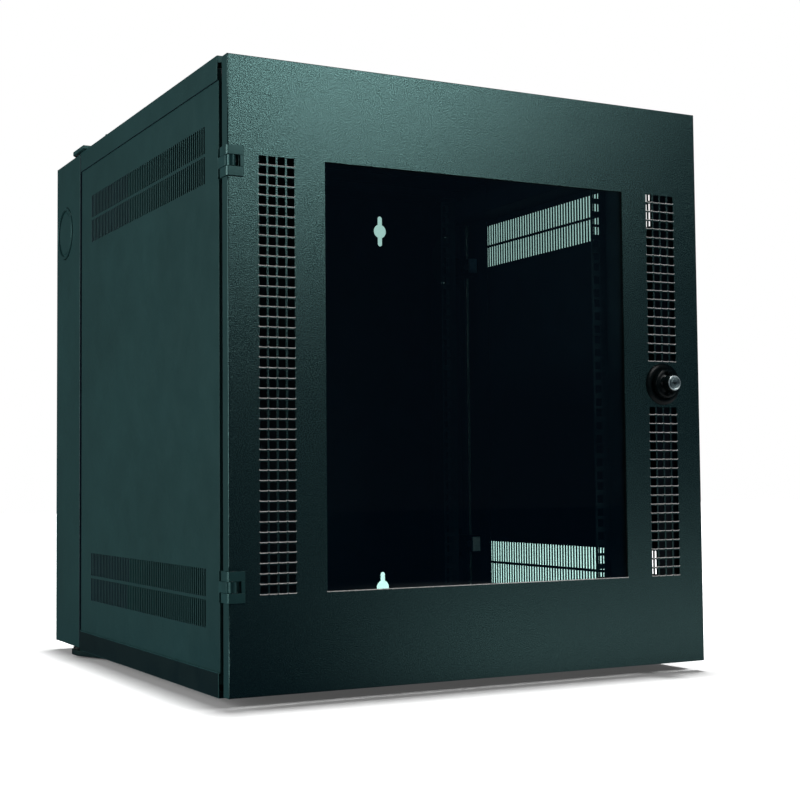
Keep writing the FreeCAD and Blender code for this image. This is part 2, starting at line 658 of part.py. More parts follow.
def door_hinge_bracket(name, middle):
    """Tongue curled round the pin, carried back past the door's edge to the front frame."""
    body = new_piece(name)
    skin = "(leaf + seat_gap)"
    frame_at = "(door_fold + door_gap + frame_recess)"
    tongue = new_sketch(body, "XY", middle)
    polygon(tongue, at_door_corner([
        ("pin_in", "(-leaf)"), ("(leaf/2)", "(-leaf)"), (f"(-{skin})", "(leaf/2)"),
        (f"(-{skin})", "bracket_turn"), ("(-seat_gap)", "bracket_turn"),
        ("(-seat_gap)", "leaf"), ("leaf", "0"), ("pin_in", "0")]))
    pad(body, tongue, "tongue_height", symmetric=True)
    curl = new_sketch(body, "XY", middle)
    circle(curl, HINGE_X, HINGE_Y, "curl_radius")
    pad(body, curl, "tongue_height", symmetric=True)
    foot = new_sketch(body, "XY", middle)
    polygon(foot, at_door_corner([
        (f"(-{skin})", "bracket_turn"), ("bracket_in", "bracket_turn"),
        ("bracket_in", f"({frame_at} - leaf)"),
        ("(bracket_in + bracket_foot)", f"({frame_at} - leaf)"),
        ("(bracket_in + bracket_foot)", frame_at),
        ("(bracket_in - leaf)", frame_at),
        ("(bracket_in - leaf)", "(bracket_turn + leaf)"),
        (f"(-{skin})", "(bracket_turn + leaf)")]))
    pad(body, foot, "hinge_height", symmetric=True)
    bore = new_sketch(body, "XY", middle)
    circle(bore, HINGE_X, HINGE_Y, "pin_radius + turn_gap")
    cut(body, bore)


def door_hinge_leaf(name, middle):
    """Leaf wrapped round the door's corner, with a window that the tongue shows through."""
    body = new_piece(name)
    wrap = new_sketch(body, "XY", middle)
    polygon(wrap, at_door_corner([
        ("leaf_front", "(-leaf)"), ("(leaf/2)", "(-leaf)"), ("(-leaf)", "(leaf/2)"),
        ("(-leaf)", "leaf_side"), ("0", "leaf_side"), ("0", "leaf"), ("leaf", "0"),
        ("leaf_front", "0")]))
    pad(body, wrap, "hinge_height", symmetric=True)
    curl = new_sketch(body, "XY", middle)
    circle(curl, HINGE_X, HINGE_Y, "curl_radius")
    pad(body, curl, "hinge_height", symmetric=True)
    window = new_sketch(body, "XY", middle)
    polygon(window, at_door_corner([
        ("(-2*leaf)", "(-2*leaf)"), ("leaf_window", "(-2*leaf)"),
        ("leaf_window", "(leaf_side + leaf)"), ("(-2*leaf)", "(leaf_side + leaf)")]))
    cut(body, window, "tongue_height + 2*seat_gap")
    bore = new_sketch(body, "XY", middle)
    circle(bore, HINGE_X, HINGE_Y, "pin_radius + turn_gap")
    cut(body, bore)


def door_hinge_pin(name, middle):
    body = new_piece(name)
    sketch = new_sketch(body, "XY", middle)
    circle(sketch, HINGE_X, HINGE_Y, "pin_radius")
    pad(body, sketch, "hinge_height", symmetric=True)


# ---------------------------------------------------------------- door

def door_skin():
    """Folded door sheet: window, two perforated bands, hinge notches and lock hole."""
    body = new_piece("door_skin")
    outer = (f"-{SIDE}", SIDE, DOOR_BOTTOM, DOOR_TOP)
    face = new_sketch(body, "XZ", DOOR_FRONT)
    rectangle(face, *outer)
    pad(body, face, "sheet")
    fold = new_sketch(body, "XZ", f"{DOOR_FRONT} + sheet")
    rectangle(fold, *outer)
    rectangle(fold, *inset(outer, "sheet"))
    folded = pad(body, fold, "door_fold - sheet")
    doc.recompute()
    rounded = body.newObject("PartDesign::Fillet", "door_skin_round")
    rounded.Base = (folded, front_edges(folded.Shape, value(DOOR_FRONT)))
    rounded.setExpression("Radius", formula("door_round"))
    window = new_sketch(body, "XZ", DOOR_FRONT)
    rectangle(window, f"-{WINDOW_X}", WINDOW_X, WINDOW_LOW, WINDOW_HIGH)
    cut(body, window, "4*sheet")
    lock = new_sketch(body, "XZ", DOOR_FRONT)
    circle(lock, LOCK_X, LOCK_Z, "barrel_radius + seat_gap")
    cut(body, lock, "4*sheet")
    for middle in HINGE_MIDDLES.values():
        notch = new_sketch(body, "XY", middle)
        polygon(notch, at_door_corner([
            ("(-leaf)", "(-leaf)"), ("notch_front", "(-leaf)"),
            ("notch_front", "notch_side"), ("(-leaf)", "notch_side")]))
        cut(body, notch, "hinge_height + 2*seat_gap")
    left = f"band_inset - {SIDE}"
    lock_band_rows = "((band_rows - lock_rows)/2)"
    top_start = f"(band_rows - {lock_band_rows})"
    bands = [(left, "0", "band_rows"), (LOCK_X, "0", lock_band_rows),
             (LOCK_X, top_start, lock_band_rows)]
    for centre, skipped, rows in bands:
        perforate(body, centre, skipped, rows)


def perforate(body, centre, skipped, rows):
    """One block of square perforations, its first row above the skipped ones."""
    z = f"{DOOR_MIDDLE} - band_pitch*(band_rows - 1)/2 + band_pitch*{skipped}"
    row = new_sketch(body, "XZ", DOOR_FRONT)
    for column in range(int(value("band_columns"))):
        x = f"{centre} + band_pitch*({column} - (band_columns - 1)/2)"
        rectangle(row, f"{x} - band_hole/2", f"{x} + band_hole/2",
                  f"{z} - band_hole/2", f"{z} + band_hole/2")
    repeat(body, cut(body, row, "4*sheet"), "Z_Axis", rows, "band_pitch")


def front_edges(shape, level):
    """The four long edges of a shape that lie in the plane Y = level."""
    names = []
    for number, edge in enumerate(shape.Edges, start=1):
        box = edge.BoundBox
        if abs(box.YMin - level) < 1e-6 and abs(box.YMax - level) < 1e-6:
            names.append(f"Edge{number}")
    return names


def glazing():
    """Gasket, glass and the four clamps that hold the glass against the gasket."""
    edge_x = f"({WINDOW_X} + glass_overlap)"
    edge_z = f"({WINDOW_HIGH} - {DOOR_MIDDLE} + glass_overlap)"
    low, high = f"{DOOR_MIDDLE} - {edge_z}", f"{DOOR_MIDDLE} + {edge_z}"
    inner = f"{DOOR_FRONT} + sheet"
    gasket = new_piece("window_gasket")
    add_ring(gasket, inner, "gasket", (f"-{edge_x}", edge_x, low, high),
             (f"-{WINDOW_X}", WINDOW_X, WINDOW_LOW, WINDOW_HIGH))
    plate("window_glass", "XZ", f"{inner} + gasket", "glass",
          box_corners(f"-{edge_x}", edge_x, low, high))
    back = f"{inner} + gasket + glass"
    gap = "seat_gap"
    for side, name in ((-1, "glass_clamp_left"), (1, "glass_clamp_right")):
        plate(name, "XY", low, f"2*{edge_z}", [
            (mirrored(side, f"{edge_x} + {gap}"), inner),
            (mirrored(side, f"{edge_x} + {gap} + clamp_foot"), inner),
            (mirrored(side, f"{edge_x} + {gap} + clamp_foot"), f"{inner} + sheet"),
            (mirrored(side, f"{edge_x} + {gap} + sheet"), f"{inner} + sheet"),
            (mirrored(side, f"{edge_x} + {gap} + sheet"), f"{back} + sheet"),
            (mirrored(side, f"{edge_x} - clamp_lip"), f"{back} + sheet"),
            (mirrored(side, f"{edge_x} - clamp_lip"), back),
            (mirrored(side, f"{edge_x} + {gap}"), back)])
    for end, name in ((-1, "glass_clamp_bottom"), (1, "glass_clamp_top")):
        def up(text):
            return f"{DOOR_MIDDLE} + {end}*({text})"
        plate(name, "YZ", f"clamp_lip - {edge_x} + {gap}", f"2*({edge_x} - clamp_lip - {gap})", [
            (inner, up(f"{edge_z} + {gap}")),
            (inner, up(f"{edge_z} + {gap} + clamp_foot")),
            (f"{inner} + sheet", up(f"{edge_z} + {gap} + clamp_foot")),
            (f"{inner} + sheet", up(f"{edge_z} + {gap} + sheet")),
            (f"{back} + sheet", up(f"{edge_z} + {gap} + sheet")),
            (f"{back} + sheet", up(f"{edge_z} - clamp_lip")),
            (back, up(f"{edge_z} - clamp_lip")),
            (back, up(f"{edge_z} + {gap}"))])


# ---------------------------------------------------------------- lock

def turned(name, profile):
    """A piece turned about the lock's axis; profile is (y, radius) corners."""
    body = new_piece(name)
    sketch = new_sketch(body, "YZ", LOCK_X, ("0", LOCK_Z))
    polygon(sketch, profile)
    revolve(body, sketch)
    return body


def lock_housing():
    bore = "spindle_radius + turn_gap"
    turned("lock_housing", [
        (f"{DOOR_FRONT} - escutcheon_height", bore),
        (f"{DOOR_FRONT} - escutcheon_height", "escutcheon_radius"),
        (DOOR_FRONT, "escutcheon_radius"), (DOOR_FRONT, "barrel_radius"),
        (f"{DOOR_FRONT} + barrel_length", "barrel_radius"),
        (f"{DOOR_FRONT} + barrel_length", bore)])


def lock_nut():
    """Thin nut on the barrel, against the back of the door sheet."""
    body = new_piece("lock_nut")
    sketch = new_sketch(body, "XZ", f"{DOOR_FRONT} + sheet")
    hexagon(sketch, LOCK_X, LOCK_Z, "lock_nut_across")
    circle(sketch, LOCK_X, LOCK_Z, "barrel_radius + turn_gap")
    pad(body, sketch, "lock_nut_height")


def lock_knob():
    """Stepped knob with a blind bore for the key cylinder and a spindle for the cam."""
    under = f"{DOOR_FRONT} - escutcheon_height - seat_gap"
    rim = f"{DOOR_FRONT} - knob_rim"
    hub = f"{DOOR_FRONT} - knob_hub"
    bore = "key_radius + turn_gap"
    blind = f"{hub} + key_length + seat_gap"
    tip = f"{CAM_FRONT} + spindle_tip"
    turned("lock_knob", [
        (hub, bore), (hub, "knob_hub_radius - 1"), (f"{hub} + 1", "knob_hub_radius"),
        (rim, "knob_hub_radius"), (rim, "knob_radius - 2"), (f"{rim} + 2", "knob_radius"),
        (under, "knob_radius"),
        (under, "spindle_radius"), (CAM_FRONT, "spindle_radius"),
        (CAM_FRONT, "spindle_tip_radius"), (tip, "spindle_tip_radius"), (tip, "0"),
        (blind, "0"), (blind, bore)])


def lock_cam():
    """Cam that points down when the door is free and to the right behind the frame to lock."""
    body = new_piece("lock_cam")
    sketch = new_sketch(body, "XZ", CAM_FRONT)
    outline = [("-cam_half", "cam_half/2"), ("-cam_half", "0"),
               ("-0.75*cam_half", "-cam_reach"), ("0.75*cam_half", "-cam_reach"),
               ("cam_half", "0"), ("cam_half", "cam_half/2"),
               ("cam_half/2", "cam_half"), ("-cam_half/2", "cam_half")]
    polygon(sketch, [(f"{LOCK_X} + {x}", f"{LOCK_Z} + {z}") for x, z in outline])
    circle(sketch, LOCK_X, LOCK_Z, "spindle_tip_radius + turn_gap")
    pad(body, sketch, "cam_thickness")


def key_plug():
    """Key cylinder with a rimmed face and a key slot."""
    hub = f"{DOOR_FRONT} - knob_hub"
    face = f"{hub} - 1.2"
    body = turned("key_plug", [
        (face, "0"), (face, "key_face_radius"),
        (hub, "key_face_radius"), (hub, "key_radius"), (f"{hub} + key_length", "key_radius"),
        (f"{hub} + key_length", "0")])
    slot = new_sketch(body, "XZ", face)
    rectangle(slot, f"{LOCK_X} - 0.6*key_radius", f"{LOCK_X} + 0.6*key_radius",
              f"{LOCK_Z} - key_slot/2", f"{LOCK_Z} + key_slot/2")
    cut(body, slot, "key_length")


# ---------------------------------------------------------------- assembly

HINGE_MIDDLES = {"upper": f"({DOOR_TOP} - hinge_offset)", "lower": f"({DOOR_BOTTOM} + hinge_offset)"}

wall_back()
wall_side(-1, "wall_side_left")
wall_side(1, "wall_side_right")
wall_cover("wall_roof", WALL_TOP, 1)
wall_cover("wall_floor", WALL_BOTTOM, -1)
wall_knockouts()
wall_ear("wall_hinge_ear_top", f"({WALL_TOP} - sheet)", 1)
wall_ear("wall_hinge_ear_bottom", f"({WALL_BOTTOM} + sheet)", -1)
pivot_pin("section_pin_top", f"({MAIN_TOP} + top_plate)",
          f"({WALL_TOP} - sheet - ear_thickness - 2)", 1)
pivot_pin("section_pin_bottom", f"({MAIN_BOTTOM} - bottom_plate)",
          f"({WALL_BOTTOM} + sheet + ear_thickness + 2)", -1)
latch_keepers()

main_tray("main_roof", MAIN_TOP, 1)
main_tray("main_base", MAIN_BOTTOM, -1)
side_panel(-1, "side_panel_left")
side_panel(1, "side_panel_right")
front_frame()
rear_frame()
for side, side_name in ((-1, "left"), (1, "right")):
    for end, end_name in ((1, "top"), (-1, "bottom")):
        rail_support(side, end, f"rail_support_{end_name}_{side_name}")
    rail(side, FRONT_RAIL, f"rail_front_{side_name}",
         f"{FRONT_RAIL} + frame_sheet", FRONT_RAIL, f"{FRONT_RAIL} - front_rail_web")
    rail(side, REAR_RAIL, f"rail_rear_{side_name}",
         REAR_RAIL, f"{REAR_RAIL} + frame_sheet", f"{REAR_RAIL} + rear_rail_web")
section_hinge_plate_top()
section_hinge_plate_bottom()
latch_guides()
lock_strike()
for end, level in ((1, "upper"), (-1, "lower")):
    latch_bolt(f"latch_bolt_{level}", end)
    door_hinge_bracket(f"door_hinge_bracket_{level}", HINGE_MIDDLES[level])
    door_hinge_leaf(f"door_hinge_leaf_{level}", HINGE_MIDDLES[level])
    door_hinge_pin(f"door_hinge_pin_{level}", HINGE_MIDDLES[level])

door_skin()
glazing()
lock_housing()
lock_nut()
lock_knob()
lock_cam()
key_plug()

doc.recompute()
for item in doc.Objects:
    if "Invalid" in item.State or "Error" in item.State:
        raise RuntimeError(f"{item.Name} failed: {item.State}")
    if item.TypeId == "PartDesign::Pocket" and item.Shape.Volume > item.BaseFeature.Shape.Volume - 1e-6:
        raise RuntimeError(f"{item.Name} cuts nothing")
os.makedirs("parts", exist_ok=True)
for piece in pieces:
    if piece.Shape.isNull() or not piece.Shape.isValid():
        raise RuntimeError(f"{piece.Label} has no valid shape")
    piece.Shape.exportStep(f"parts/{piece.Label}.step")
print(f"{len(pieces)} pieces written")
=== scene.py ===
"""The dressed look of the wall cabinet: softened sheet metal, slotted side panels, hinges, lock,
fasteners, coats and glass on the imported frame, with the camera and studio."""
import json
import math

import bmesh
import bpy
from mathutils import Matrix, Vector


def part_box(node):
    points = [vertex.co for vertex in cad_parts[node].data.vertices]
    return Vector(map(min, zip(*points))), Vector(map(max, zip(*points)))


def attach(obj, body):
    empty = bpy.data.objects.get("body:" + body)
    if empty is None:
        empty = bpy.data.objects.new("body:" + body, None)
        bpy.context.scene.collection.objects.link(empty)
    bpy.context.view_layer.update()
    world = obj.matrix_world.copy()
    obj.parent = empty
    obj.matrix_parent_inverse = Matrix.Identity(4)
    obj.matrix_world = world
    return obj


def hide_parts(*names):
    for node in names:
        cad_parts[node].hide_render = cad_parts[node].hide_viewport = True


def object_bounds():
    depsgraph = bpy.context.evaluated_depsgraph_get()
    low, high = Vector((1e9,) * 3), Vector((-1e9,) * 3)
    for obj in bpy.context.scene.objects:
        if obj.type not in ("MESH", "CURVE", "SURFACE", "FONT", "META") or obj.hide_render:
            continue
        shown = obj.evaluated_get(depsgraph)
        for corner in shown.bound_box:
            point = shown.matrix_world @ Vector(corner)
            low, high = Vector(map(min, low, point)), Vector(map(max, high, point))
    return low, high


MM = 0.001
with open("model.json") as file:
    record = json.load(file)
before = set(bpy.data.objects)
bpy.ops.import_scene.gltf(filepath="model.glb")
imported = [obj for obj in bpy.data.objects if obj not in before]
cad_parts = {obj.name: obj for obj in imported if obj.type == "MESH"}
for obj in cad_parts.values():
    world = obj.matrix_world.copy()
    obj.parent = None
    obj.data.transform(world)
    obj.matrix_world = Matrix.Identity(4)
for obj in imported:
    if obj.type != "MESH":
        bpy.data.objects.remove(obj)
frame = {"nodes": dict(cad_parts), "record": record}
CAD_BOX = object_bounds()


# ---------------------------------------------------------------- places read from the frame

def low(node):
    """Lowest corner of a node's box."""
    return Vector(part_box(node)[0])


def high(node):
    """Highest corner of a node's box."""
    return Vector(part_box(node)[1])


def middle(node):
    """Middle of a node's box."""
    return (low(node) + high(node)) / 2


LOCK = middle("lock_housing")
DOOR_FACE = low("door_skin").y
DOOR_EDGE = low("door_skin").x
KNOB_RIM_OUT = 9.5 * MM
KNOB_RIM = DOOR_FACE - KNOB_RIM_OUT
KNOB_HUB = low("lock_knob").y
CAM_BACK = high("lock_cam").y
PIVOT = middle("section_pin_top")
PIN_AXIS = middle("door_hinge_pin_upper")


# ---------------------------------------------------------------- node materials

def new_material(name, base, roughness, metallic=0.0, specular=0.5, tint=(1, 1, 1)):
    """A Principled material, with its nodes and shader."""
    material = bpy.data.materials.new(name)
    material.use_nodes = True
    shader = material.node_tree.nodes["Principled BSDF"]
    shader.inputs["Base Color"].default_value = (*base, 1)
    shader.inputs["Roughness"].default_value = roughness
    shader.inputs["Metallic"].default_value = metallic
    shader.inputs["Specular IOR Level"].default_value = specular
    shader.inputs["Specular Tint"].default_value = (*tint, 1)
    return material, material.node_tree, shader


def noise(tree, scale, detail=2.0):
    """Noise in object coordinates; scale is features per metre."""
    place = tree.nodes.new("ShaderNodeTexCoord")
    texture = tree.nodes.new("ShaderNodeTexNoise")
    texture.inputs["Scale"].default_value = scale
    texture.inputs["Detail"].default_value = detail
    tree.links.new(place.outputs["Object"], texture.inputs["Vector"])
    return texture.outputs["Fac"]


def ramp(tree, factor, stops):
    """A colour ramp through (position, colour) stops."""
    node = tree.nodes.new("ShaderNodeValToRGB")
    elements = node.color_ramp.elements
    while len(elements) < len(stops):
        elements.new(0.5)
    for element, (position, colour) in zip(elements, stops):
        element.position = position
        element.color = (*colour, 1)
    tree.links.new(factor, node.inputs["Fac"])
    return node.outputs["Color"]


def multiplied(tree, first, second):
    """The product of two colours."""
    node = tree.nodes.new("ShaderNodeMix")
    node.data_type = "RGBA"
    node.blend_type = "MULTIPLY"
    node.inputs["Factor"].default_value = 1.0
    tree.links.new(first, node.inputs["A"])
    tree.links.new(second, node.inputs["B"])
    return node.outputs["Result"]


def vary(tree, shader, socket, factor, first, last, start=0.3, end=0.7):
    """Drive a socket of the shader from one colour to another as the factor rises."""
    tree.links.new(ramp(tree, factor, [(start, first), (end, last)]), shader.inputs[socket])


def bump(tree, shader, height, strength, distance):
    """Fine relief; distance is in metres."""
    node = tree.nodes.new("ShaderNodeBump")
    node.inputs["Strength"].default_value = strength
    node.inputs["Distance"].default_value = distance
    tree.links.new(height, node.inputs["Height"])
    tree.links.new(node.outputs["Normal"], shader.inputs["Normal"])


def grey(value):
    """A neutral colour."""
    return (value, value, value)


def scaled(colour, factor):
    """A colour made lighter or darker."""
    return tuple(part * factor for part in colour)


TEAL = (0.0125, 0.0430, 0.0440)
TEAL_TINT = (0.50, 1.0, 0.95)


def smooth_coat(name, base):
    """Satin powder coat with slight orange peel and cloudy tone."""
    material, tree, shader = new_material(name, base, 0.42, specular=0.4, tint=TEAL_TINT)
    vary(tree, shader, "Base Color", noise(tree, 9, 3), scaled(base, 0.92), scaled(base, 1.08))
    vary(tree, shader, "Roughness", noise(tree, 30), grey(0.38), grey(0.46))
    bump(tree, shader, noise(tree, 700), strength=0.10, distance=0.0002)
    return material


def shaded_textured_coat():
    """Fine texture powder coat: raised grains that catch the light over a dark ground; the ground
    is the body's teal darkened as painted shade for the door's dim front.
    """
    base = scaled(TEAL, 0.15)
    material, tree, shader = new_material("shaded_textured_coat", base, 0.32, specular=0.9, tint=TEAL_TINT)
    grain = noise(tree, 900)
    speckle = ramp(tree, grain, [
        (0.38, scaled(base, 0.15)), (0.5, scaled(base, 0.8)), (0.60, scaled(base, 4.0))])
    clouds = ramp(tree, noise(tree, 7, 3), [(0.3, grey(0.9)), (0.7, grey(1.0))])
    tree.links.new(multiplied(tree, speckle, clouds), shader.inputs["Base Color"])
    vary(tree, shader, "Roughness", grain, grey(0.38), grey(0.17), start=0.42, end=0.58)
    bump(tree, shader, grain, strength=0.8, distance=0.0003)
    return material


def inner_coat(name, base):
    """Smooth blue-black coat on the sheets, frames and rails inside; its darkness partly stands in
    for the shade inside the cabinet.
    """
    material, tree, shader = new_material(name, base, 0.45, specular=0.4)
    vary(tree, shader, "Base Color", noise(tree, 25, 3), scaled(base, 0.8), scaled(base, 1.25))
    bump(tree, shader, noise(tree, 900), strength=0.08, distance=0.0002)
    return material


def hinge_coat():
    """Semi-gloss coat on the hinges, thin enough to show the bent steel's waviness."""
    base = scaled(TEAL, 1.15)
    material, tree, shader = new_material("hinge_coat", base, 0.36, tint=TEAL_TINT)
    vary(tree, shader, "Base Color", noise(tree, 60, 3), scaled(base, 0.85), scaled(base, 1.2))
    bump(tree, shader, noise(tree, 220), strength=0.12, distance=0.0003)
    return material


def zinc():
    """Bright zinc plate with a fine drawn grain."""
    material, tree, shader = new_material("zinc_plate", (0.55, 0.56, 0.57), 0.34, metallic=1.0)
    vary(tree, shader, "Base Color", noise(tree, 140, 4), (0.46, 0.47, 0.49), (0.63, 0.64, 0.64))
    vary(tree, shader, "Roughness", noise(tree, 60, 3), grey(0.26), grey(0.42))
    bump(tree, shader, noise(tree, 1200), strength=0.08, distance=0.0001)
    return material


def chrome(name, tone):
    """Satin chrome of the key cylinder, with fine wear in its gloss."""
    material, tree, shader = new_material(name, tone, 0.36, metallic=1.0)
    vary(tree, shader, "Roughness", noise(tree, 500, 3), grey(0.28), grey(0.42),
         start=0.35, end=0.65)
    return material


def lock_black():
    """Glossy black enamel on the lock."""
    base = (0.002, 0.005, 0.0055)
    material, tree, shader = new_material("lock_enamel", base, 0.26, specular=0.1)
    vary(tree, shader, "Roughness", noise(tree, 180, 3), grey(0.2), grey(0.32))
    bump(tree, shader, noise(tree, 900), strength=0.05, distance=0.0001)
    return material


def gasket_rubber():
    """Dull black rubber with a faint skin."""
    base = (0.006, 0.008, 0.009)
    material, tree, shader = new_material("gasket_rubber", base, 0.7, specular=0.3)
    vary(tree, shader, "Base Color", noise(tree, 300, 3), scaled(base, 0.7), scaled(base, 1.4))
    bump(tree, shader, noise(tree, 1500), strength=0.2, distance=0.0001)
    return material


def tinted_glass():
    """Smoked green glass, clear enough that daylight shows mint through it."""
    material, tree, shader = new_material("tinted_glass", (0.36, 0.60, 0.55), 0.0)
    shader.inputs["Transmission Weight"].default_value = 1.0
    shader.inputs["IOR"].default_value = 1.5
    vary(tree, shader, "Roughness", noise(tree, 6, 3), grey(0.0), grey(0.015), start=0.45, end=0.75)
    return material


def blackened_steel():
    """Matt black finish of the small steel parts inside."""
    material, tree, shader = new_material("blackened_steel", grey(0.006), 0.55, specular=0.2)
    vary(tree, shader, "Base Color", noise(tree, 160, 3), grey(0.004), (0.008, 0.010, 0.013))
    bump(tree, shader, noise(tree, 1100), strength=0.1, distance=0.0001)
    return material


def painted_edge_highlight():
    """Pale grey painted highlight: the sills of the door's openings are painted pale for the light
    their rounded edges catch.
    """
    material, tree, shader = new_material("painted_edge_highlight", (0.80, 0.78, 0.76), 0.4)
    vary(tree, shader, "Base Color", noise(tree, 420, 3), (0.62, 0.61, 0.60), (0.90, 0.88, 0.86),
         start=0.3, end=0.6)
    bump(tree, shader, noise(tree, 1600), strength=0.1, distance=0.0001)
    return material


BLACKENED_STEEL = blackened_steel()
# Painted highlight for the door's sills and the rear frame's edge.
EDGE_HIGHLIGHT_PAINT = painted_edge_highlight()
WORN_CHROME = chrome("worn_chrome", (0.20, 0.26, 0.26))
# Painted shade: the body's teal darkened for the base and the bottom hinge plates, for the shade
# low down by the floor.
SHADED_BASE_COAT = smooth_coat("shaded_base_coat", scaled(TEAL, 0.20))
COATS = {
    "body_coat": smooth_coat("smooth_coat", TEAL),
    "door_coat": shaded_textured_coat(),
    # The inner coat's dark tone is partly painted shade for the cabinet's inside.
    "frame_coat": inner_coat("inner_coat", (0.0080, 0.0180, 0.0340)),
    "rail_coat": inner_coat("rail_coat", (0.0450, 0.0700, 0.0900)),
    "hinge_coat": hinge_coat(),
    "steel": zinc(),
    "lock_black": lock_black(),
    "lock_chrome": chrome("satin_chrome", (0.78, 0.86, 0.85)),
    "gasket_rubber": gasket_rubber(),
    "tinted_glass": tinted_glass(),
}


def paint(obj, slot):
    """Give an object the material of a record slot as its first material."""
    if obj.data.materials:
        obj.data.materials[0] = COATS[slot]
    else:
        obj.data.materials.append(COATS[slot])


# ---------------------------------------------------------------- making pieces

# Cosines between a face and an axis or a direction, an edge angle in radians, and metres.
FLAT = 0.999
FACING = 0.9
INWARD = 0.05
SHARP = 0.5
TOUCH = 1e-6
NODE_SLOT = {entry["node"]: entry["material_slot"] for entry in frame["record"]["subparts"]}
NODE_BODY = {node: body for body, nodes in frame["record"]["behaviour"]["bodies"].items()
             for node in nodes}


def new_piece(name, mesh, slot, body, stands_for=()):
    """Link a mesh as a piece that rides on a body and stands for CAD nodes."""
    piece = bpy.data.objects.new(name, mesh)
    bpy.context.scene.collection.objects.link(piece)
    paint(piece, slot)
    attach(piece, body)
    if stands_for:
        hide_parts(*stands_for)
    return piece


def mesh_from(builder, name):
    """Make a mesh from a function that fills a bmesh."""
    shape = bmesh.new()
    builder(shape)
    bmesh.ops.recalc_face_normals(shape, faces=shape.faces)
    mesh = bpy.data.meshes.new(name)
    shape.to_mesh(mesh)
    shape.free()
    return mesh


def even_shading(piece):
    """Smooth shading that follows the large faces, so that flat faces look flat."""
    for face in piece.data.polygons:
        face.use_smooth = True
    modifier = piece.modifiers.new("even_shading", "WEIGHTED_NORMAL")
    modifier.mode = "FACE_AREA"
    modifier.weight = 95
    return piece


def bevel(piece, width, segments=2, angle=35):
    """Round the sharp edges of a piece."""
    modifier = piece.modifiers.new("rounded_edges", "BEVEL")
    modifier.width = width
    modifier.segments = segments
    modifier.limit_method = "ANGLE"
    modifier.angle_limit = math.radians(angle)
    return even_shading(piece)


def soften(node, width, segments=2):
    """A copy of a CAD node with merged flats and rounded edges, in place of the node."""
    def copy(shape):
        shape.from_mesh(frame["nodes"][node].data)
        bmesh.ops.remove_doubles(shape, verts=shape.verts, dist=TOUCH)
        bmesh.ops.dissolve_limit(shape, angle_limit=math.radians(0.5), verts=shape.verts,
                                 edges=shape.edges)
    mesh = mesh_from(copy, f"{node}_soft")
    piece = new_piece(f"{node}_soft", mesh, NODE_SLOT[node], NODE_BODY[node], [node])
    return bevel(piece, width, segments)


def add_box(shape, corner_a, corner_b):
    """Add an axis-aligned box between two corners."""
    centre = (Vector(corner_a) + Vector(corner_b)) / 2
    size = Vector(corner_b) - Vector(corner_a)
    place = Matrix.Translation(centre) @ Matrix.Diagonal((*size, 1))
    bmesh.ops.create_cube(shape, size=1, matrix=place)


def add_turned(shape, centre, axis, profile, segments=64):
    """Revolve (distance along axis, radius) points about an axis through centre."""
    turn = Vector((0, 0, 1)).rotation_difference(Vector(axis)).to_matrix().to_4x4()
    place = Matrix.Translation(Vector(centre)) @ turn
    rings = []
    for distance, radius in profile:
        if radius == 0:
            rings.append([shape.verts.new(place @ Vector((0, 0, distance)))])
            continue
        angles = [2 * math.pi * step / segments for step in range(segments)]
        rings.append([shape.verts.new(place @ Vector((radius * math.cos(a), radius * math.sin(a),
                                                      distance))) for a in angles])
    for first, second in zip(rings, rings[1:]):
        for step in range(segments):
            after = (step + 1) % segments
            corners = [first[step % len(first)], first[after % len(first)],
                       second[after % len(second)], second[step % len(second)]]
            unique = list(dict.fromkeys(corners))
            if len(unique) > 2:
                shape.faces.new(unique)


def add_prism(shape, outline, bottom, top):
    """Extrude a closed plan outline of (x, y) points from bottom to top."""
    lower = [shape.verts.new((x, y, bottom)) for x, y in outline]
    upper = [shape.verts.new((x, y, top)) for x, y in outline]
    shape.faces.new(list(reversed(lower)))
    shape.faces.new(upper)
    for step in range(len(outline)):
        after = (step + 1) % len(outline)
        shape.faces.new([lower[step], lower[after], upper[after], upper[step]])


def arc(centre, radius, start, end, steps=8):
    """Plan points on an arc, angles in degrees."""
    angles = [math.radians(start + (end - start) * step / steps) for step in range(steps + 1)]
    return [(centre[0] + radius * math.cos(a), centre[1] + radius * math.sin(a)) for a in angles]


# ---------------------------------------------------------------- sheet metal

BLACKENED = ("latch_guides", "latch_keepers", "lock_strike", "lock_cam")
SHADED_LOW_PARTS = ("main_base", "section_hinge_plate_bottom", "wall_hinge_ear_bottom")
EDGE_DEPTH = 0.1 * MM
SHELL = ("main_roof", "main_base", "wall_back_panel", "wall_side_left", "wall_side_right",
         "wall_roof", "wall_floor")
CABINET_MIDDLE = (Vector(CAD_BOX[0]) + Vector(CAD_BOX[1])) / 2
SOFT_EDGES = {
    "main_roof": 0.7, "main_base": 1.0,
    "wall_back_panel": 0.5, "wall_side_left": 0.7, "wall_side_right": 0.7,
    "wall_roof": 0.6, "wall_floor": 0.6, "front_frame": 0.6, "rear_frame": 0.6,
    "rail_front_left": 0.4, "rail_front_right": 0.4, "rail_rear_left": 0.4, "rail_rear_right": 0.4,
    "rail_support_top_left": 0.5, "rail_support_top_right": 0.5,
    "rail_support_bottom_left": 0.5, "rail_support_bottom_right": 0.5,
    "section_hinge_plate_top": 0.8, "section_hinge_plate_bottom": 1.0,
    "wall_hinge_ear_top": 0.6, "wall_hinge_ear_bottom": 0.6,
    "latch_guides": 0.8, "latch_keepers": 0.5, "lock_strike": 0.3, "lock_cam": 0.4,
    "glass_clamp_top": 0.3, "glass_clamp_bottom": 0.3,
    "glass_clamp_left": 0.3, "glass_clamp_right": 0.3,
}


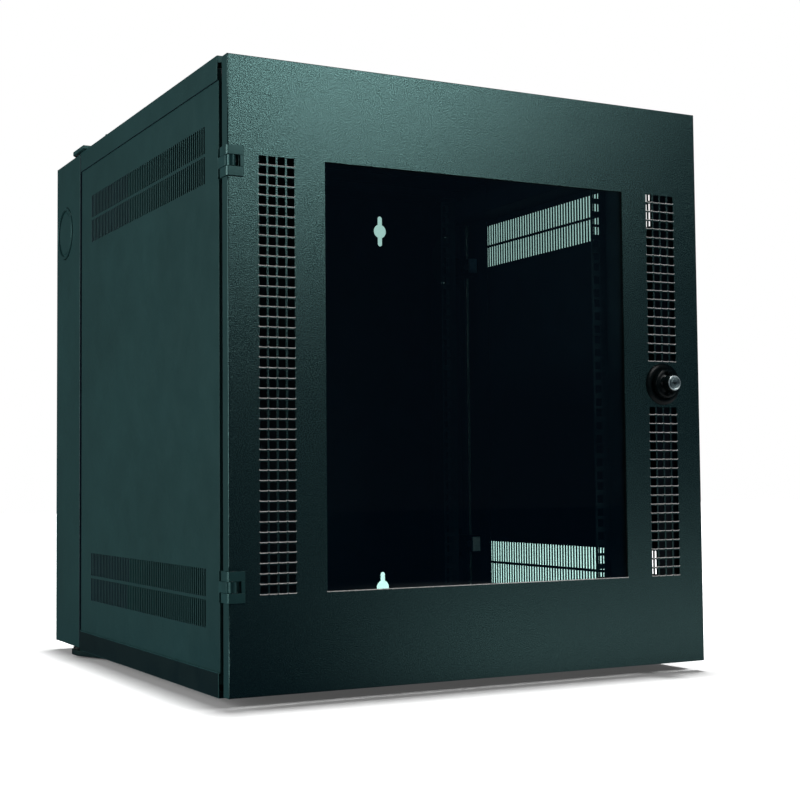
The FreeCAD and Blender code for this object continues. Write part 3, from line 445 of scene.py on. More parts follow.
def paint_inside_shade(piece):
    """Painted shade: give the faces that look into the cabinet the dark inner coat, for the shade
    inside.
    """
    piece.data.materials.append(COATS["frame_coat"])
    for face in piece.data.polygons:
        inward = CABINET_MIDDLE - face.center
        if face.normal.dot(inward) > INWARD * inward.length:
            face.material_index = 1


def finish_faces(node, material, chosen):
    """Give some faces of a softened node another finish."""
    mesh = bpy.data.objects[f"{node}_soft"].data
    mesh.materials.append(material)
    for face in mesh.polygons:
        if chosen(face):
            face.material_index = len(mesh.materials) - 1


def sheet_metal():
    """Sheets, frames, rails and plates with rounded edges in place of their sharp solids."""
    for node, width in SOFT_EDGES.items():
        piece = soften(node, width * MM)
        if node in SHELL:
            paint_inside_shade(piece)
    for node in BLACKENED:
        bpy.data.objects[f"{node}_soft"].data.materials[0] = BLACKENED_STEEL
    # Painted shade on the base and the bottom hinge plates.
    for node in SHADED_LOW_PARTS:
        bpy.data.objects[f"{node}_soft"].data.materials[0] = SHADED_BASE_COAT
    # Painted highlight: the base's top faces and rounded edges take the lighter hinge coat.
    finish_faces("main_base", COATS["hinge_coat"], lambda face: (
        face.normal.z > FACING and face.center.z > high("main_base").z - EDGE_DEPTH))
    base = bpy.data.objects["main_base_soft"]
    base.modifiers["rounded_edges"].material = len(base.data.materials) - 1


def sheet_from_cells(cuts_x, cuts_y, cuts_z, solid):
    """Mesh the cells between the cuts for which solid(x, y, z) holds at their middles."""
    cuts = [sorted({round(value, 7) for value in axis}) for axis in (cuts_x, cuts_y, cuts_z)]
    middles = [[(a + b) / 2 for a, b in zip(axis, axis[1:])] for axis in cuts]
    counts = [len(axis) for axis in middles]
    filled = {(i, j, k)
              for i in range(counts[0]) for j in range(counts[1]) for k in range(counts[2])
              if solid(middles[0][i], middles[1][j], middles[2][k])}

    def build(shape):
        made = {}

        def corner(index):
            if index not in made:
                made[index] = shape.verts.new([cuts[axis][index[axis]] for axis in range(3)])
            return made[index]

        for cell in filled:
            for axis in range(3):
                for step in (0, 1):
                    beside = list(cell)
                    beside[axis] += 2 * step - 1
                    if tuple(beside) in filled:
                        continue
                    first, second = [other for other in range(3) if other != axis]
                    face = []
                    for u, v in ((0, 0), (1, 0), (1, 1), (0, 1)):
                        index = list(cell)
                        index[axis] += step
                        index[first] += u
                        index[second] += v
                        face.append(corner(tuple(index)))
                    shape.faces.new(face)
        bmesh.ops.recalc_face_normals(shape, faces=shape.faces)

    return build


def round_edges(shape, chosen, width, segments, finish=-1):
    """Round the sharp edges whose middles satisfy chosen(point), in the material slot finish."""
    edges = [edge for edge in shape.edges if edge.calc_face_angle(0) > SHARP
             and chosen((edge.verts[0].co + edge.verts[1].co) / 2)]
    bmesh.ops.bevel(shape, geom=edges, offset=width, segments=segments, profile=0.5,
                    affect="EDGES", clamp_overlap=True, material=finish)


SHEET = 1.5 * MM
FOLD_ROUND = 0.9 * MM
PUNCH_ROUND = 0.8 * MM
FOLD_DEPTH = 15 * MM
BAND_INSET = 52.5 * MM
BAND_PITCH = 10.2 * MM
BAND_HOLE = 8.2 * MM
BAND_COLUMNS = 4
BAND_ROWS = 43
LOCK_ROWS = 5
WINDOW_SIDE = 105.8 * MM
WINDOW_END = 99.7 * MM
NOTCH_IN = 11.6 * MM
NOTCH_BACK = 7 * MM
NOTCH_HALF = 15.8 * MM


def spans(centre, pitch, width, count):
    """(start, end) of a centred run of openings."""
    first = centre - pitch * (count - 1) / 2
    return [(first + pitch * step - width / 2, first + pitch * step + width / 2)
            for step in range(count)]


def within(value, runs):
    """Whether a value lies inside one of the (start, end) runs."""
    return any(start < value < end for start, end in runs)


def door_sheet():
    """Folded door sheet with rounded folds and softened perforations and window."""
    bottom, top = low("door_skin"), high("door_skin")
    centre_z = (bottom.z + top.z) / 2
    left = spans(bottom.x + BAND_INSET, BAND_PITCH, BAND_HOLE, BAND_COLUMNS)
    right = spans(top.x - BAND_INSET, BAND_PITCH, BAND_HOLE, BAND_COLUMNS)
    rows = spans(centre_z, BAND_PITCH, BAND_HOLE, BAND_ROWS)
    beside_lock = [row for row in rows if abs(sum(row) / 2 - centre_z) > LOCK_ROWS / 2 * BAND_PITCH]
    window_x = [(bottom.x + WINDOW_SIDE, top.x - WINDOW_SIDE)]
    window_z = [(bottom.z + WINDOW_END, top.z - WINDOW_END)]
    hinges = [(middle(f"door_hinge_leaf_{level}").z - NOTCH_HALF,
               middle(f"door_hinge_leaf_{level}").z + NOTCH_HALF) for level in ("upper", "lower")]
    front, back, rim = DOOR_FACE, DOOR_FACE + SHEET, DOOR_FACE + FOLD_DEPTH

    def solid(x, y, z):
        if x < bottom.x + NOTCH_IN and y < front + NOTCH_BACK and within(z, hinges):
            return False
        if y > back:
            return (min(x - bottom.x, top.x - x) < SHEET) or (min(z - bottom.z, top.z - z) < SHEET)
        perforated = (within(x, left) and within(z, rows)) or (
            within(x, right) and within(z, beside_lock))
        return not perforated and not (within(x, window_x) and within(z, window_z))

    def at_fold(point):
        at_side = min(point.x - bottom.x, top.x - point.x) < TOUCH
        at_end = min(point.z - bottom.z, top.z - point.z) < TOUCH
        return point.y < front + TOUCH and (at_side or at_end)

    sills = [start for start, _ in rows + window_z]

    def at_sill(point):
        over_opening = bottom.x + FOLD_DEPTH < point.x < top.x - FOLD_DEPTH
        return (point.y < front + TOUCH and over_opening
                and any(abs(point.z - sill) < TOUCH for sill in sills))

    flat = [value for run in left + right + window_x for value in run]
    cuts_x = [bottom.x, bottom.x + SHEET, bottom.x + NOTCH_IN, top.x - SHEET, top.x] + flat
    cuts_z = [bottom.z, bottom.z + SHEET, top.z - SHEET, top.z]
    cuts_z += [value for run in rows + window_z + hinges for value in run]
    cuts_y = [front, back, front + NOTCH_BACK, rim]
    cells = sheet_from_cells(cuts_x, cuts_y, cuts_z, solid)

    def build(shape):
        cells(shape)
        round_edges(shape, at_fold, FOLD_ROUND, 4)
        # The bottom sills' rounded edges take the pale painted highlight, material slot 1.
        round_edges(shape, at_sill, PUNCH_ROUND, 2, 1)

    piece = new_piece("door_sheet", mesh_from(build, "door_sheet"), "door_coat", "door",
                      ["door_skin"])
    # Slot 1: the pale painted highlight on the sills.
    piece.data.materials.append(EDGE_HIGHLIGHT_PAINT)
    piece.data.materials.append(COATS["body_coat"])
    for face in piece.data.polygons:
        face.use_smooth = max(abs(part) for part in face.normal) < FLAT
        # Painted light: the left fold's faces get the body's lighter smooth coat, a lit copy of the
        # paint beside the door front's painted shade.
        if face.normal.x < -FACING and face.center.x < bottom.x + EDGE_DEPTH:
            face.material_index = 2


SLOTS = 65
SLOT_PITCH = 6.35 * MM
SLOT_WIDTH = 4.0 * MM
ROW_HEIGHT = 28 * MM
ROW_BAR = 3.4 * MM
BLOCK_CENTRE = 227 * MM
VENT_START = 40.5 * MM
PANEL_SHEET = 1.5 * MM
HEM = 8 * MM


REAR_EDGE_IN = 2.2 * MM
REAR_EDGE_AHEAD = 5 * MM
REAR_EDGE_WIDTH = 2 * MM
REAR_EDGE_DEPTH = 3 * MM
REAR_EDGE_HALF = 270 * MM


def rear_highlight_strip():
    """Pale strip on the rear frame's right flange, a painted highlight: the thin line of light seen
    through the window.
    """
    outer = high("rear_frame").x - REAR_EDGE_IN
    back = high("rear_frame").y - REAR_EDGE_AHEAD

    def build(shape):
        add_box(shape, (outer - REAR_EDGE_WIDTH, back - REAR_EDGE_DEPTH, -REAR_EDGE_HALF),
                (outer, back, REAR_EDGE_HALF))
    piece = new_piece("rear_frame_painted_highlight", mesh_from(build, "rear_frame_painted_highlight"), "steel",
                      "main_section")
    bevel(piece, 0.1 * MM).data.materials[0] = EDGE_HIGHLIGHT_PAINT


SKIRT_EDGE_OUT = 0.3 * MM
SKIRT_EDGE_IN = 1.2 * MM
SKIRT_EDGE_SHORT = 2 * MM
SKIRT_EDGE_DOWN = 0.1 * MM
SKIRT_EDGE_HEIGHT = 1.0 * MM


def skirt_highlight_strip():
    """Lighter strip along the top of the base's left skirt: a painted highlight where its top edge
    catches the light.
    """
    start, end = low("main_base"), high("main_base")
    top = end.z - SKIRT_EDGE_DOWN

    def build(shape):
        add_box(shape, (start.x - SKIRT_EDGE_OUT, start.y + SKIRT_EDGE_SHORT,
                        top - SKIRT_EDGE_HEIGHT),
                (start.x + SKIRT_EDGE_IN, end.y - SKIRT_EDGE_SHORT, top))
    bevel(new_piece("skirt_highlight_strip", mesh_from(build, "skirt_highlight_strip"), "hinge_coat", "main_section"),
          0.2 * MM)


def side_panel(node, outward):
    """Side sheet with its full rows of narrow slots, hemmed along the front edge."""
    bottom, top = low(node), high(node)
    outer = top.x if outward > 0 else bottom.x
    inner = outer - outward * PANEL_SHEET
    fold = inner - outward * PANEL_SHEET
    starts = [bottom.y + VENT_START + step * SLOT_PITCH for step in range(SLOTS)]
    slots = [(start, start + SLOT_WIDTH) for start in starts]
    rows = []
    for block in (-BLOCK_CENTRE, BLOCK_CENTRE):
        rows.append((block - ROW_BAR / 2 - ROW_HEIGHT, block - ROW_BAR / 2))
        rows.append((block + ROW_BAR / 2, block + ROW_BAR / 2 + ROW_HEIGHT))

    def solid(x, y, z):
        if abs(x - outer) > PANEL_SHEET:
            return y < bottom.y + HEM
        return not (within(y, slots) and within(z, rows))

    cuts_y = [bottom.y, bottom.y + HEM, top.y] + [value for run in slots for value in run]
    cuts_z = [bottom.z, top.z] + [value for run in rows for value in run]
    build = sheet_from_cells([outer, inner, fold], cuts_y, cuts_z, solid)
    piece = new_piece(f"{node}_slotted", mesh_from(build, node), NODE_SLOT[node],
                      NODE_BODY[node], [node])
    paint_inside_shade(piece)
    bevel(piece, 0.35 * MM)


KNOCKOUT_PROFILE = [(-1.5, 0), (-1.5, 34.7), (0.9, 34.7), (1.9, 33.8), (1.9, 31.6), (0.9, 30.7),
                    (-1.0, 30.3), (-1.0, 28.0), (0.3, 27.0), (0.6, 15), (0.6, 0)]
KNOCKOUT_RISE = 1.9


def knockout_discs():
    """Stamped knock-outs: a raised rim, a groove and a slightly domed core.

    The left one stands proud of its sheet, the right one is pressed in to the same depth.
    """
    bottom, top = low("cable_knockouts"), high("cable_knockouts")
    centre_y, centre_z = (bottom.y + top.y) / 2, (bottom.z + top.z) / 2

    def build(shape):
        for side, x, shift in ((-1, bottom.x, 0), (1, top.x, -KNOCKOUT_RISE)):
            profile = [((distance + shift) * MM, radius * MM)
                       for distance, radius in KNOCKOUT_PROFILE]
            add_turned(shape, (x, centre_y, centre_z), (side, 0, 0), profile, 96)

    piece = new_piece("knockout_discs", mesh_from(build, "knockout_discs"), "body_coat",
                      "wall_section", ["cable_knockouts"])
    bevel(piece, 0.2 * MM, 2, 30)


# ---------------------------------------------------------------- door hinges

LEAF = 1.8
LEAF_FRONT = 16.5
LEAF_SIDE = 17
LEAF_BACK = 12.5
LEAF_EASE = (2.5, 3)
LEAF_BEND = 6.8 * MM
HINGE_HALF = 15.5 * MM
TONGUE_HALF = 5.5 * MM
WINDOW_HALF = 5.8 * MM
CURL = 4.0 * MM
CURL_TURN = (0, 350, 35)
SEAT_GAP = 0.3
TONGUE_SKIN = LEAF + SEAT_GAP
STRAP_FRONT = 2.2
LEAD_BACK = 7.1 * MM
LEAD_NOSE = 5.8 * MM
LEAD_INSIDE = 3.9 * MM
BRACKET_TURN = 21
BRACKET_IN = 12
BRACKET_FOOT = 16
FRAME_AT = 39


def door_place(u, v):
    """Plan point from the door's left front edge: u mm inboard, v mm behind the face."""
    return (DOOR_EDGE + u * MM, DOOR_FACE + v * MM)


def hinge_leaf(level):
    """Leaf bent round the door's corner, with the window that shows the tongue."""
    centre_z = middle(f"door_hinge_leaf_{level}").z
    corner = (PIN_AXIS.x, PIN_AXIS.y)
    bend = [(x, max(y, DOOR_FACE - LEAF * MM)) for x, y in arc(corner, LEAF_BEND, 180, 238, 8)]
    wrap = ([door_place(0, LEAF_SIDE), door_place(-LEAF, LEAF_SIDE)] + bend
            + [door_place(LEAF_FRONT, -LEAF), door_place(LEAF_FRONT, 0),
               door_place(LEAF_EASE[0], 0), door_place(0, LEAF_EASE[1])])
    strip = [door_place(u, v) for u, v in (
        (LEAF_BACK, -LEAF), (LEAF_FRONT, -LEAF), (LEAF_FRONT, 0), (LEAF_BACK, 0))]
    knuckle = arc(corner, CURL, *CURL_TURN)

    def build(shape):
        for low_z, high_z in ((-HINGE_HALF, -WINDOW_HALF), (WINDOW_HALF, HINGE_HALF)):
            add_prism(shape, wrap, centre_z + low_z, centre_z + high_z)
            add_prism(shape, knuckle, centre_z + low_z, centre_z + high_z)
        add_prism(shape, strip, centre_z - WINDOW_HALF, centre_z + WINDOW_HALF)

    piece = new_piece(f"hinge_leaf_{level}", mesh_from(build, "hinge_leaf"), "hinge_coat", "door",
                      [f"door_hinge_leaf_{level}"])
    return bevel(piece, 0.35 * MM)


def hinge_bracket(level):
    """Tongue curled round the pin and carried back to the front frame."""
    node = f"door_hinge_bracket_{level}"
    centre_z = middle(node).z
    corner = (PIN_AXIS.x, PIN_AXIS.y)
    curl = arc(corner, CURL, *CURL_TURN)
    strap = [door_place(u, v) for u, v in (
        (-TONGUE_SKIN, STRAP_FRONT), (-TONGUE_SKIN, BRACKET_TURN),
        (-SEAT_GAP, BRACKET_TURN), (-SEAT_GAP, STRAP_FRONT))]
    lead = (arc(corner, LEAD_BACK, 180, 188, 2) + arc(corner, LEAD_NOSE, 200, 232, 5)
            + arc(corner, LEAD_INSIDE, 232, 180, 6))
    foot = [door_place(u, v) for u, v in (
        (-TONGUE_SKIN, BRACKET_TURN), (BRACKET_IN, BRACKET_TURN), (BRACKET_IN, FRAME_AT - LEAF),
        (BRACKET_IN + BRACKET_FOOT, FRAME_AT - LEAF), (BRACKET_IN + BRACKET_FOOT, FRAME_AT),
        (BRACKET_IN - LEAF, FRAME_AT), (BRACKET_IN - LEAF, BRACKET_TURN + LEAF),
        (-TONGUE_SKIN, BRACKET_TURN + LEAF))]

    def build(shape):
        for outline in (curl, strap, lead):
            add_prism(shape, outline, centre_z - TONGUE_HALF, centre_z + TONGUE_HALF)
        add_prism(shape, foot, centre_z - HINGE_HALF, centre_z + HINGE_HALF)

    piece = new_piece(f"hinge_bracket_{level}", mesh_from(build, "hinge_bracket"), "hinge_coat",
                      NODE_BODY[node], [node])
    return bevel(piece, 0.3 * MM)


# ---------------------------------------------------------------- lock

HOUSING_BORE = 6.05
HOUSING_BARREL = 11
ESCUTCHEON = 24.0
ESCUTCHEON_DISH = 2.2
ESCUTCHEON_FACE = 2.5
SPINDLE = 6
SPINDLE_TIP = 4
SPINDLE_SHOULDER = -43.2
HANDLE = 16.5
HANDLE_FOOT = 15.9
HANDLE_UNDER = 2.8
HUB = 9.5
KEY_BORE = 7.55
KEY_BORE_DEPTH = 16.3
KEY_FLANGE = 8.4
KEY_BODY = 7.5
KEY_BODY_LENGTH = 17.2
KEY_GROOVE = 2.6
KEY_CORE = 6.0
RIB_HALF = 3.2 * MM
RIB_DEPTH = 6 * MM
RIB_REACH = (9.3 * MM, 14.5 * MM)
NUT_BORE = 4.1 * MM
NUT_RADIUS = 7.6 * MM
NUT_HEIGHT = 3.2 * MM


def out_of_door(y):
    """How many millimetres a place stands out in front of the door's face."""
    return (DOOR_FACE - y) / MM


def lock_turned(name, profile, slot, body, nodes=(), width=0.15, segments=72, rounds=2):
    """A lock piece turned about the lock's axis; profile is (mm towards the front, mm radius)."""
    def build(shape):
        add_turned(shape, (LOCK.x, DOOR_FACE, LOCK.z), (0, -1, 0),
                   [(distance * MM, radius * MM) for distance, radius in profile], segments)
    piece = new_piece(name, mesh_from(build, name), slot, body, nodes)
    return bevel(piece, width * MM, rounds, 30)


def lock_escutcheon():
    """Dished round plate on the door, with the barrel behind it."""
    back = out_of_door(high("lock_housing").y)
    lock_turned("lock_escutcheon", [
        (back, HOUSING_BORE), (ESCUTCHEON_DISH, HOUSING_BORE), (ESCUTCHEON_DISH, 17.2),
        (ESCUTCHEON_FACE, 17.6), (ESCUTCHEON_FACE, 20.5), (1.4, 23.2), (0.6, ESCUTCHEON),
        (0, ESCUTCHEON), (0, HOUSING_BARREL), (back, HOUSING_BARREL), (back, HOUSING_BORE)],
        "lock_black", "door", ["lock_housing"])


def lock_handle():
    """Stepped knob with its hub, the bore for the key cylinder and the spindle."""
    hub, rim = out_of_door(KNOB_HUB), out_of_door(KNOB_RIM)
    tip = out_of_door(high("lock_knob").y)
    bore_end = hub - KEY_BORE_DEPTH
    lock_turned("lock_handle", [
        (bore_end, 0), (bore_end, KEY_BORE), (hub, KEY_BORE), (hub, 8.9), (hub - 0.6, HUB),
        (rim + 2.5, HUB), (rim + 0.6, 10.6), (rim, 12.2), (rim, 14.2), (rim - 0.7, 15.8),
        (rim - 2.0, HANDLE), (4.2, HANDLE), (3.4, HANDLE_FOOT), (HANDLE_UNDER, HANDLE_FOOT),
        (HANDLE_UNDER, SPINDLE), (SPINDLE_SHOULDER, SPINDLE), (SPINDLE_SHOULDER, SPINDLE_TIP),
        (tip, SPINDLE_TIP), (tip, 0)],
        "lock_black", "knob", ["lock_knob"])


def grip_ribs():
    """Two finger ribs above and below the knob's hub."""
    def build(shape):
        for side in (-1, 1):
            add_box(shape, (LOCK.x - RIB_HALF, KNOB_RIM - RIB_DEPTH, LOCK.z + side * RIB_REACH[0]),
                    (LOCK.x + RIB_HALF, KNOB_RIM, LOCK.z + side * RIB_REACH[1]))
    bevel(new_piece("lock_grip_ribs", mesh_from(build, "ribs"), "lock_black", "knob"), 1.4 * MM, 3)


def key_cylinder():
    """Chrome cylinder with a rim round its face, and the worn core set in its groove."""
    face = out_of_door(low("key_plug").y)
    root = face - KEY_BODY_LENGTH
    floor_of_groove = face - KEY_GROOVE
    lock_turned("key_cylinder", [
        (root, 0), (root, KEY_BODY), (face - 1.2, KEY_BODY), (face - 1.2, KEY_FLANGE),
        (face - 0.3, KEY_FLANGE), (face, 8.1), (face, 7.3), (floor_of_groove, 7.1),
        (floor_of_groove, 0)],
        "lock_chrome", "key", ["key_plug"], 0.1, rounds=1)
    core = lock_turned("key_core", [
        (floor_of_groove, KEY_CORE), (face - 0.3, KEY_CORE), (face - 0.1, 5.7), (face - 0.1, 4.9),
        (face - 0.9, 4.6), (face - 0.9, 3.7), (face - 0.2, 3.5), (face - 0.2, 0)],
        "lock_chrome", "key", width=0.1, segments=60, rounds=1)
    core.data.materials[0] = WORN_CHROME


KEYWAY_DEPTH = (0.05 * MM, 0.6 * MM)
KEYWAY_HALF = (2.9 * MM, 0.8 * MM)
KEYWAY_WARD = ((-0.8 * MM, -1.9 * MM), (1.0 * MM, 0.5 * MM))


def key_slot():
    """Dark keyway across the core, with a ward below it."""
    front = low("key_plug").y
    outer, inner = front + KEYWAY_DEPTH[0], front + KEYWAY_DEPTH[1]

    def build(shape):
        half_x, half_z = KEYWAY_HALF
        add_box(shape, (LOCK.x - half_x, outer, LOCK.z - half_z),
                (LOCK.x + half_x, inner, LOCK.z + half_z))
        (start_x, start_z), (end_x, end_z) = KEYWAY_WARD
        add_box(shape, (LOCK.x + start_x, outer, LOCK.z + start_z),
                (LOCK.x + end_x, inner, LOCK.z + end_z))
    bevel(new_piece("key_slot", mesh_from(build, "keyway"), "lock_black", "key"), 0.12 * MM)


def cam_nut():
    """Hexagon nut that holds the cam on the spindle."""
    def build(shape):
        add_turned(shape, (LOCK.x, CAM_BACK, LOCK.z), (0, 1, 0),
                   [(0, NUT_BORE), (0, NUT_RADIUS), (NUT_HEIGHT, NUT_RADIUS),
                    (NUT_HEIGHT, NUT_BORE), (0, NUT_BORE)], 6)
    bevel(new_piece("cam_nut", mesh_from(build, "nut"), "steel", "knob"), 0.5 * MM, 2, 30)


def lock():
    """Escutcheon and barrel, knob with finger ribs, key cylinder and cam nut."""
    lock_escutcheon()
    lock_handle()
    grip_ribs()
    key_cylinder()
    key_slot()
    cam_nut()


# ---------------------------------------------------------------- fasteners

def pan_head(name, places, axis, radius, body, slot="steel", height=0.6):
    """Pan-head screws with a cross recess hinted by a dished crown, on points along an axis."""
    def build(shape):
        for place in places:
            add_turned(shape, place, axis, [
                (-0.4 * MM, 0), (-0.4 * MM, radius), (0.15 * radius, radius),
                (height * radius, 0.72 * radius), (height * radius, 0.3 * radius),
                (0.35 * height * radius, 0.12 * radius), (0.35 * height * radius, 0)], 24)
    piece = new_piece(name, mesh_from(build, name), slot, body)
    return bevel(piece, 0.12 * radius, 2, 25)


WASHER_RADIUS = 10 * MM
WASHER_BORE = 4.3 * MM
WASHER_PLAY = 0.05 * MM


def washers():
    """Thrust washers between the hinge plates and the wall section."""
    def build(shape):
        for under, over in ((high("wall_roof").z, low("section_hinge_plate_top").z),
                            (high("section_hinge_plate_bottom").z, low("wall_floor").z)):
            height = over - under - 2 * WASHER_PLAY
            add_turned(shape, (PIVOT.x, PIVOT.y, under + WASHER_PLAY), (0, 0, 1),
                       [(0, WASHER_BORE), (0, WASHER_RADIUS), (height, WASHER_RADIUS),
                        (height, WASHER_BORE), (0, WASHER_BORE)], 48)
    piece = new_piece("thrust_washers", mesh_from(build, "washers"), "steel", "wall_section")
    bevel(piece, 0.15 * MM).data.materials[0] = BLACKENED_STEEL


ROOF_SCREW_IN = 4 * MM
ROOF_SCREW_BACK = 419 * MM
TOP_RIVET_BACK = 8 * MM
TOP_RIVET_IN = (11 * MM, 10 * MM)
BOTTOM_RIVET_IN = 12 * MM
BOTTOM_RIVETS_BACK = (12 * MM, 38 * MM, 64 * MM)
RAIL_SCREW_END = 12 * MM
RAIL_SCREW_BACK = 14 * MM
RAIL_SHEET = 2 * MM
BRACKET_SCREW = (21 * MM, 37.4 * MM, 9 * MM)


def roof_screws():
    """Two pan-head screws near the side edges of the roof."""
    roof = high("main_roof")
    places = [(side * (roof.x - ROOF_SCREW_IN), DOOR_FACE + ROOF_SCREW_BACK, roof.z)
              for side in (-1, 1)]
    pan_head("roof_screws", places, (0, 0, 1), 3.2 * MM, "main_section", "hinge_coat", 0.7)


def plate_rivets():
    """Rivets that hold the section's hinge plates to its roof and base."""
    start, end = low("section_hinge_plate_top"), high("section_hinge_plate_top")
    places = [(x, start.y + TOP_RIVET_BACK, end.z)
              for x in (start.x + TOP_RIVET_IN[0], end.x - TOP_RIVET_IN[1])]
    pan_head("top_plate_rivets", places, (0, 0, 1), 3.4 * MM, "main_section", "hinge_coat", 0.35)
    start, end = low("section_hinge_plate_bottom"), high("section_hinge_plate_bottom")
    places = [(end.x - BOTTOM_RIVET_IN, start.y + back, start.z) for back in BOTTOM_RIVETS_BACK]
    pan_head("bottom_plate_rivets", places, (0, 0, -1), 4 * MM, "main_section", "hinge_coat", 0.35)


def rail_screws():
    """A screw at each end of every rail, into the channel that carries it."""
    for side, name, outward in (("right", "rail_screws_right", 1),
                                ("left", "rail_screws_left", -1)):
        places = []
        for row in ("front", "rear"):
            start, end = low(f"rail_{row}_{side}"), high(f"rail_{row}_{side}")
            x = (end.x if outward > 0 else start.x) - outward * RAIL_SHEET
            places += [(x, start.y + RAIL_SCREW_BACK, z)
                       for z in (start.z + RAIL_SCREW_END, end.z - RAIL_SCREW_END)]
        pan_head(name, places, (-outward, 0, 0), 4.5 * MM, "main_section", "rail_coat")


def bracket_screws():
    """Two screws through the foot of each door hinge bracket."""
    inboard, back, apart = BRACKET_SCREW
    places = [(DOOR_EDGE + inboard, DOOR_FACE + back, middle(f"door_hinge_bracket_{level}").z + dz)
              for level in ("upper", "lower") for dz in (-apart, apart)]
    pan_head("bracket_screws", places, (0, -1, 0), 3.2 * MM, "main_section", height=0.35)


def fasteners():
    """Every screw and rivet that shows."""
    roof_screws()
    plate_rivets()
    rail_screws()
    bracket_screws()


# ---------------------------------------------------------------- camera, floor and light

CAMERA_PLACE = (-0.8217, -2.0020, -0.1097)
CAMERA_FORWARD = (0.46663, 0.88279, 0.05417)
CAMERA_RIGHT = (0.88429, -0.46685, -0.00928)
LENS = 66.78
SENSOR = 36


def camera():
    """Camera at the front left, a little below the middle of the cabinet."""
    forward = Vector(CAMERA_FORWARD).normalized()
    side = Vector(CAMERA_RIGHT)
    side = (side - side.dot(forward) * forward).normalized()
    up = side.cross(forward)
    data = bpy.data.cameras.new("camera")
    data.sensor_width = SENSOR
    data.lens = LENS
    view = bpy.data.objects.new("camera", data)
    turn = Matrix((side, up, -forward)).transposed().to_4x4()
    view.matrix_world = Matrix.Translation(CAMERA_PLACE) @ turn
    bpy.context.scene.collection.objects.link(view)
    bpy.context.scene.camera = view


def math_node(tree, operation, first, second):
    """A maths node whose inputs are sockets or numbers."""
    node = tree.nodes.new("ShaderNodeMath")
    node.operation = operation
    for socket, value in zip(node.inputs, (first, second)):
        if isinstance(value, (int, float)):
            socket.default_value = value
        else:
            tree.links.new(value, socket)
    return node.outputs[0]


def seen_directly(tree, y, threshold):
    """(direct, mirrored): how far the background is seen straight or in a reflection.

    Rays that pass the glass count as direct where y is beyond the threshold, behind the door.
    Rays that the glass throws back to the front count as mirrored, and none counts after a
    diffuse bounce.
    """
    rays = tree.nodes.new("ShaderNodeLightPath")
    unscattered = math_node(tree, "LESS_THAN", rays.outputs["Diffuse Depth"], 0.5)
    passed = math_node(tree, "MULTIPLY", rays.outputs["Is Transmission Ray"], unscattered)
    behind = math_node(tree, "GREATER_THAN", y, threshold)
    direct = math_node(tree, "MAXIMUM", rays.outputs["Is Camera Ray"],
                       math_node(tree, "MULTIPLY", passed, behind))
    glossy = math_node(tree, "MULTIPLY", rays.outputs["Is Glossy Ray"], unscattered)
    indirect = math_node(tree, "MAXIMUM", glossy, passed)
    return direct, math_node(tree, "MULTIPLY", indirect, math_node(tree, "SUBTRACT", 1.0, direct))


AMBIENT = 0.08
MIRRORED_FRONT = 0.01
HAZE = (0.006, 0.023, 0.050)
MIRRORED_BEHIND = 0.04
BACKDROP_FADE = 0.5


def fading(tree, value, near, far, at_near, at_far):
    """A smooth change from one level to another between two distances."""
    node = tree.nodes.new("ShaderNodeMapRange")
    node.interpolation_type = "SMOOTHSTEP"
    for name, level in (("From Min", near), ("From Max", far),
                        ("To Min", at_near), ("To Max", at_far)):
        node.inputs[name].default_value = level
    tree.links.new(value, node.inputs["Value"])
    return node.outputs["Result"]


def place_parts(tree, coordinate):
    """The X and Y of a texture coordinate."""
    place = tree.nodes.new("ShaderNodeTexCoord")
    parts = tree.nodes.new("ShaderNodeSeparateXYZ")
    tree.links.new(place.outputs[coordinate], parts.inputs[0])
    return parts.outputs["X"], parts.outputs["Y"]


def add_haze(tree, shader, mirrored, y, reach):
    """Add the dark blue room in front of the cabinet that the glass reflects; returns the sum."""
    haze = tree.nodes.new("ShaderNodeEmission")
    haze.inputs["Color"].default_value = (*HAZE, 1)
    front = fading(tree, y, -reach, reach, 1, 0)
    tree.links.new(math_node(tree, "MULTIPLY", mirrored, front), haze.inputs["Strength"])
    both = tree.nodes.new("ShaderNodeAddShader")
    tree.links.new(shader, both.inputs[0])
    tree.links.new(haze.outputs["Emission"], both.inputs[1])
    return both.outputs[0]


def studio_world():
    """White where it is seen, a dim even room where it lights the object."""
    world = bpy.data.worlds.new("studio")
    bpy.context.scene.world = world
    world.use_nodes = True
    tree = world.node_tree
    background = tree.nodes["Background"]
    background.inputs["Color"].default_value = (1, 1, 1, 1)
    _, y = place_parts(tree, "Generated")
    direct, mirrored = seen_directly(tree, y, 0)
    behind = fading(tree, y, -BACKDROP_FADE, BACKDROP_FADE, MIRRORED_FRONT, MIRRORED_BEHIND)
    scattered = math_node(tree, "MULTIPLY", math_node(tree, "SUBTRACT", 1.0, mirrored), AMBIENT)
    dim = math_node(tree, "ADD", math_node(tree, "MULTIPLY", mirrored, behind), scattered)
    tree.links.new(math_node(tree, "MAXIMUM", direct, dim), background.inputs["Strength"])
    seen = add_haze(tree, background.outputs["Background"], mirrored, y, BACKDROP_FADE)
    tree.links.new(seen, tree.nodes["World Output"].inputs["Surface"])


FLOOR_HALF = 9.0
FLOOR_GAP = 0.5 * MM
FLOOR_TONE = 0.8
PAINTED_SHADOW_GLOW = 0.07
PAINTED_SHADOW_REACH = 0.11
BOUNCE = 0.25
BOUNCE_FAR = 0.01
BOUNCE_REACH = (0.9, 1.6)
FLOOR_FADE = 1.0
SWEEP_MIRRORED = 0.9
SWEEP_SLANT = 0.5
SWEEP_EDGE = (-0.6, -0.2)
SWEEP_FRONT = (-0.9, -0.5)
SWEEP_REACH = (1.0, 1.6)


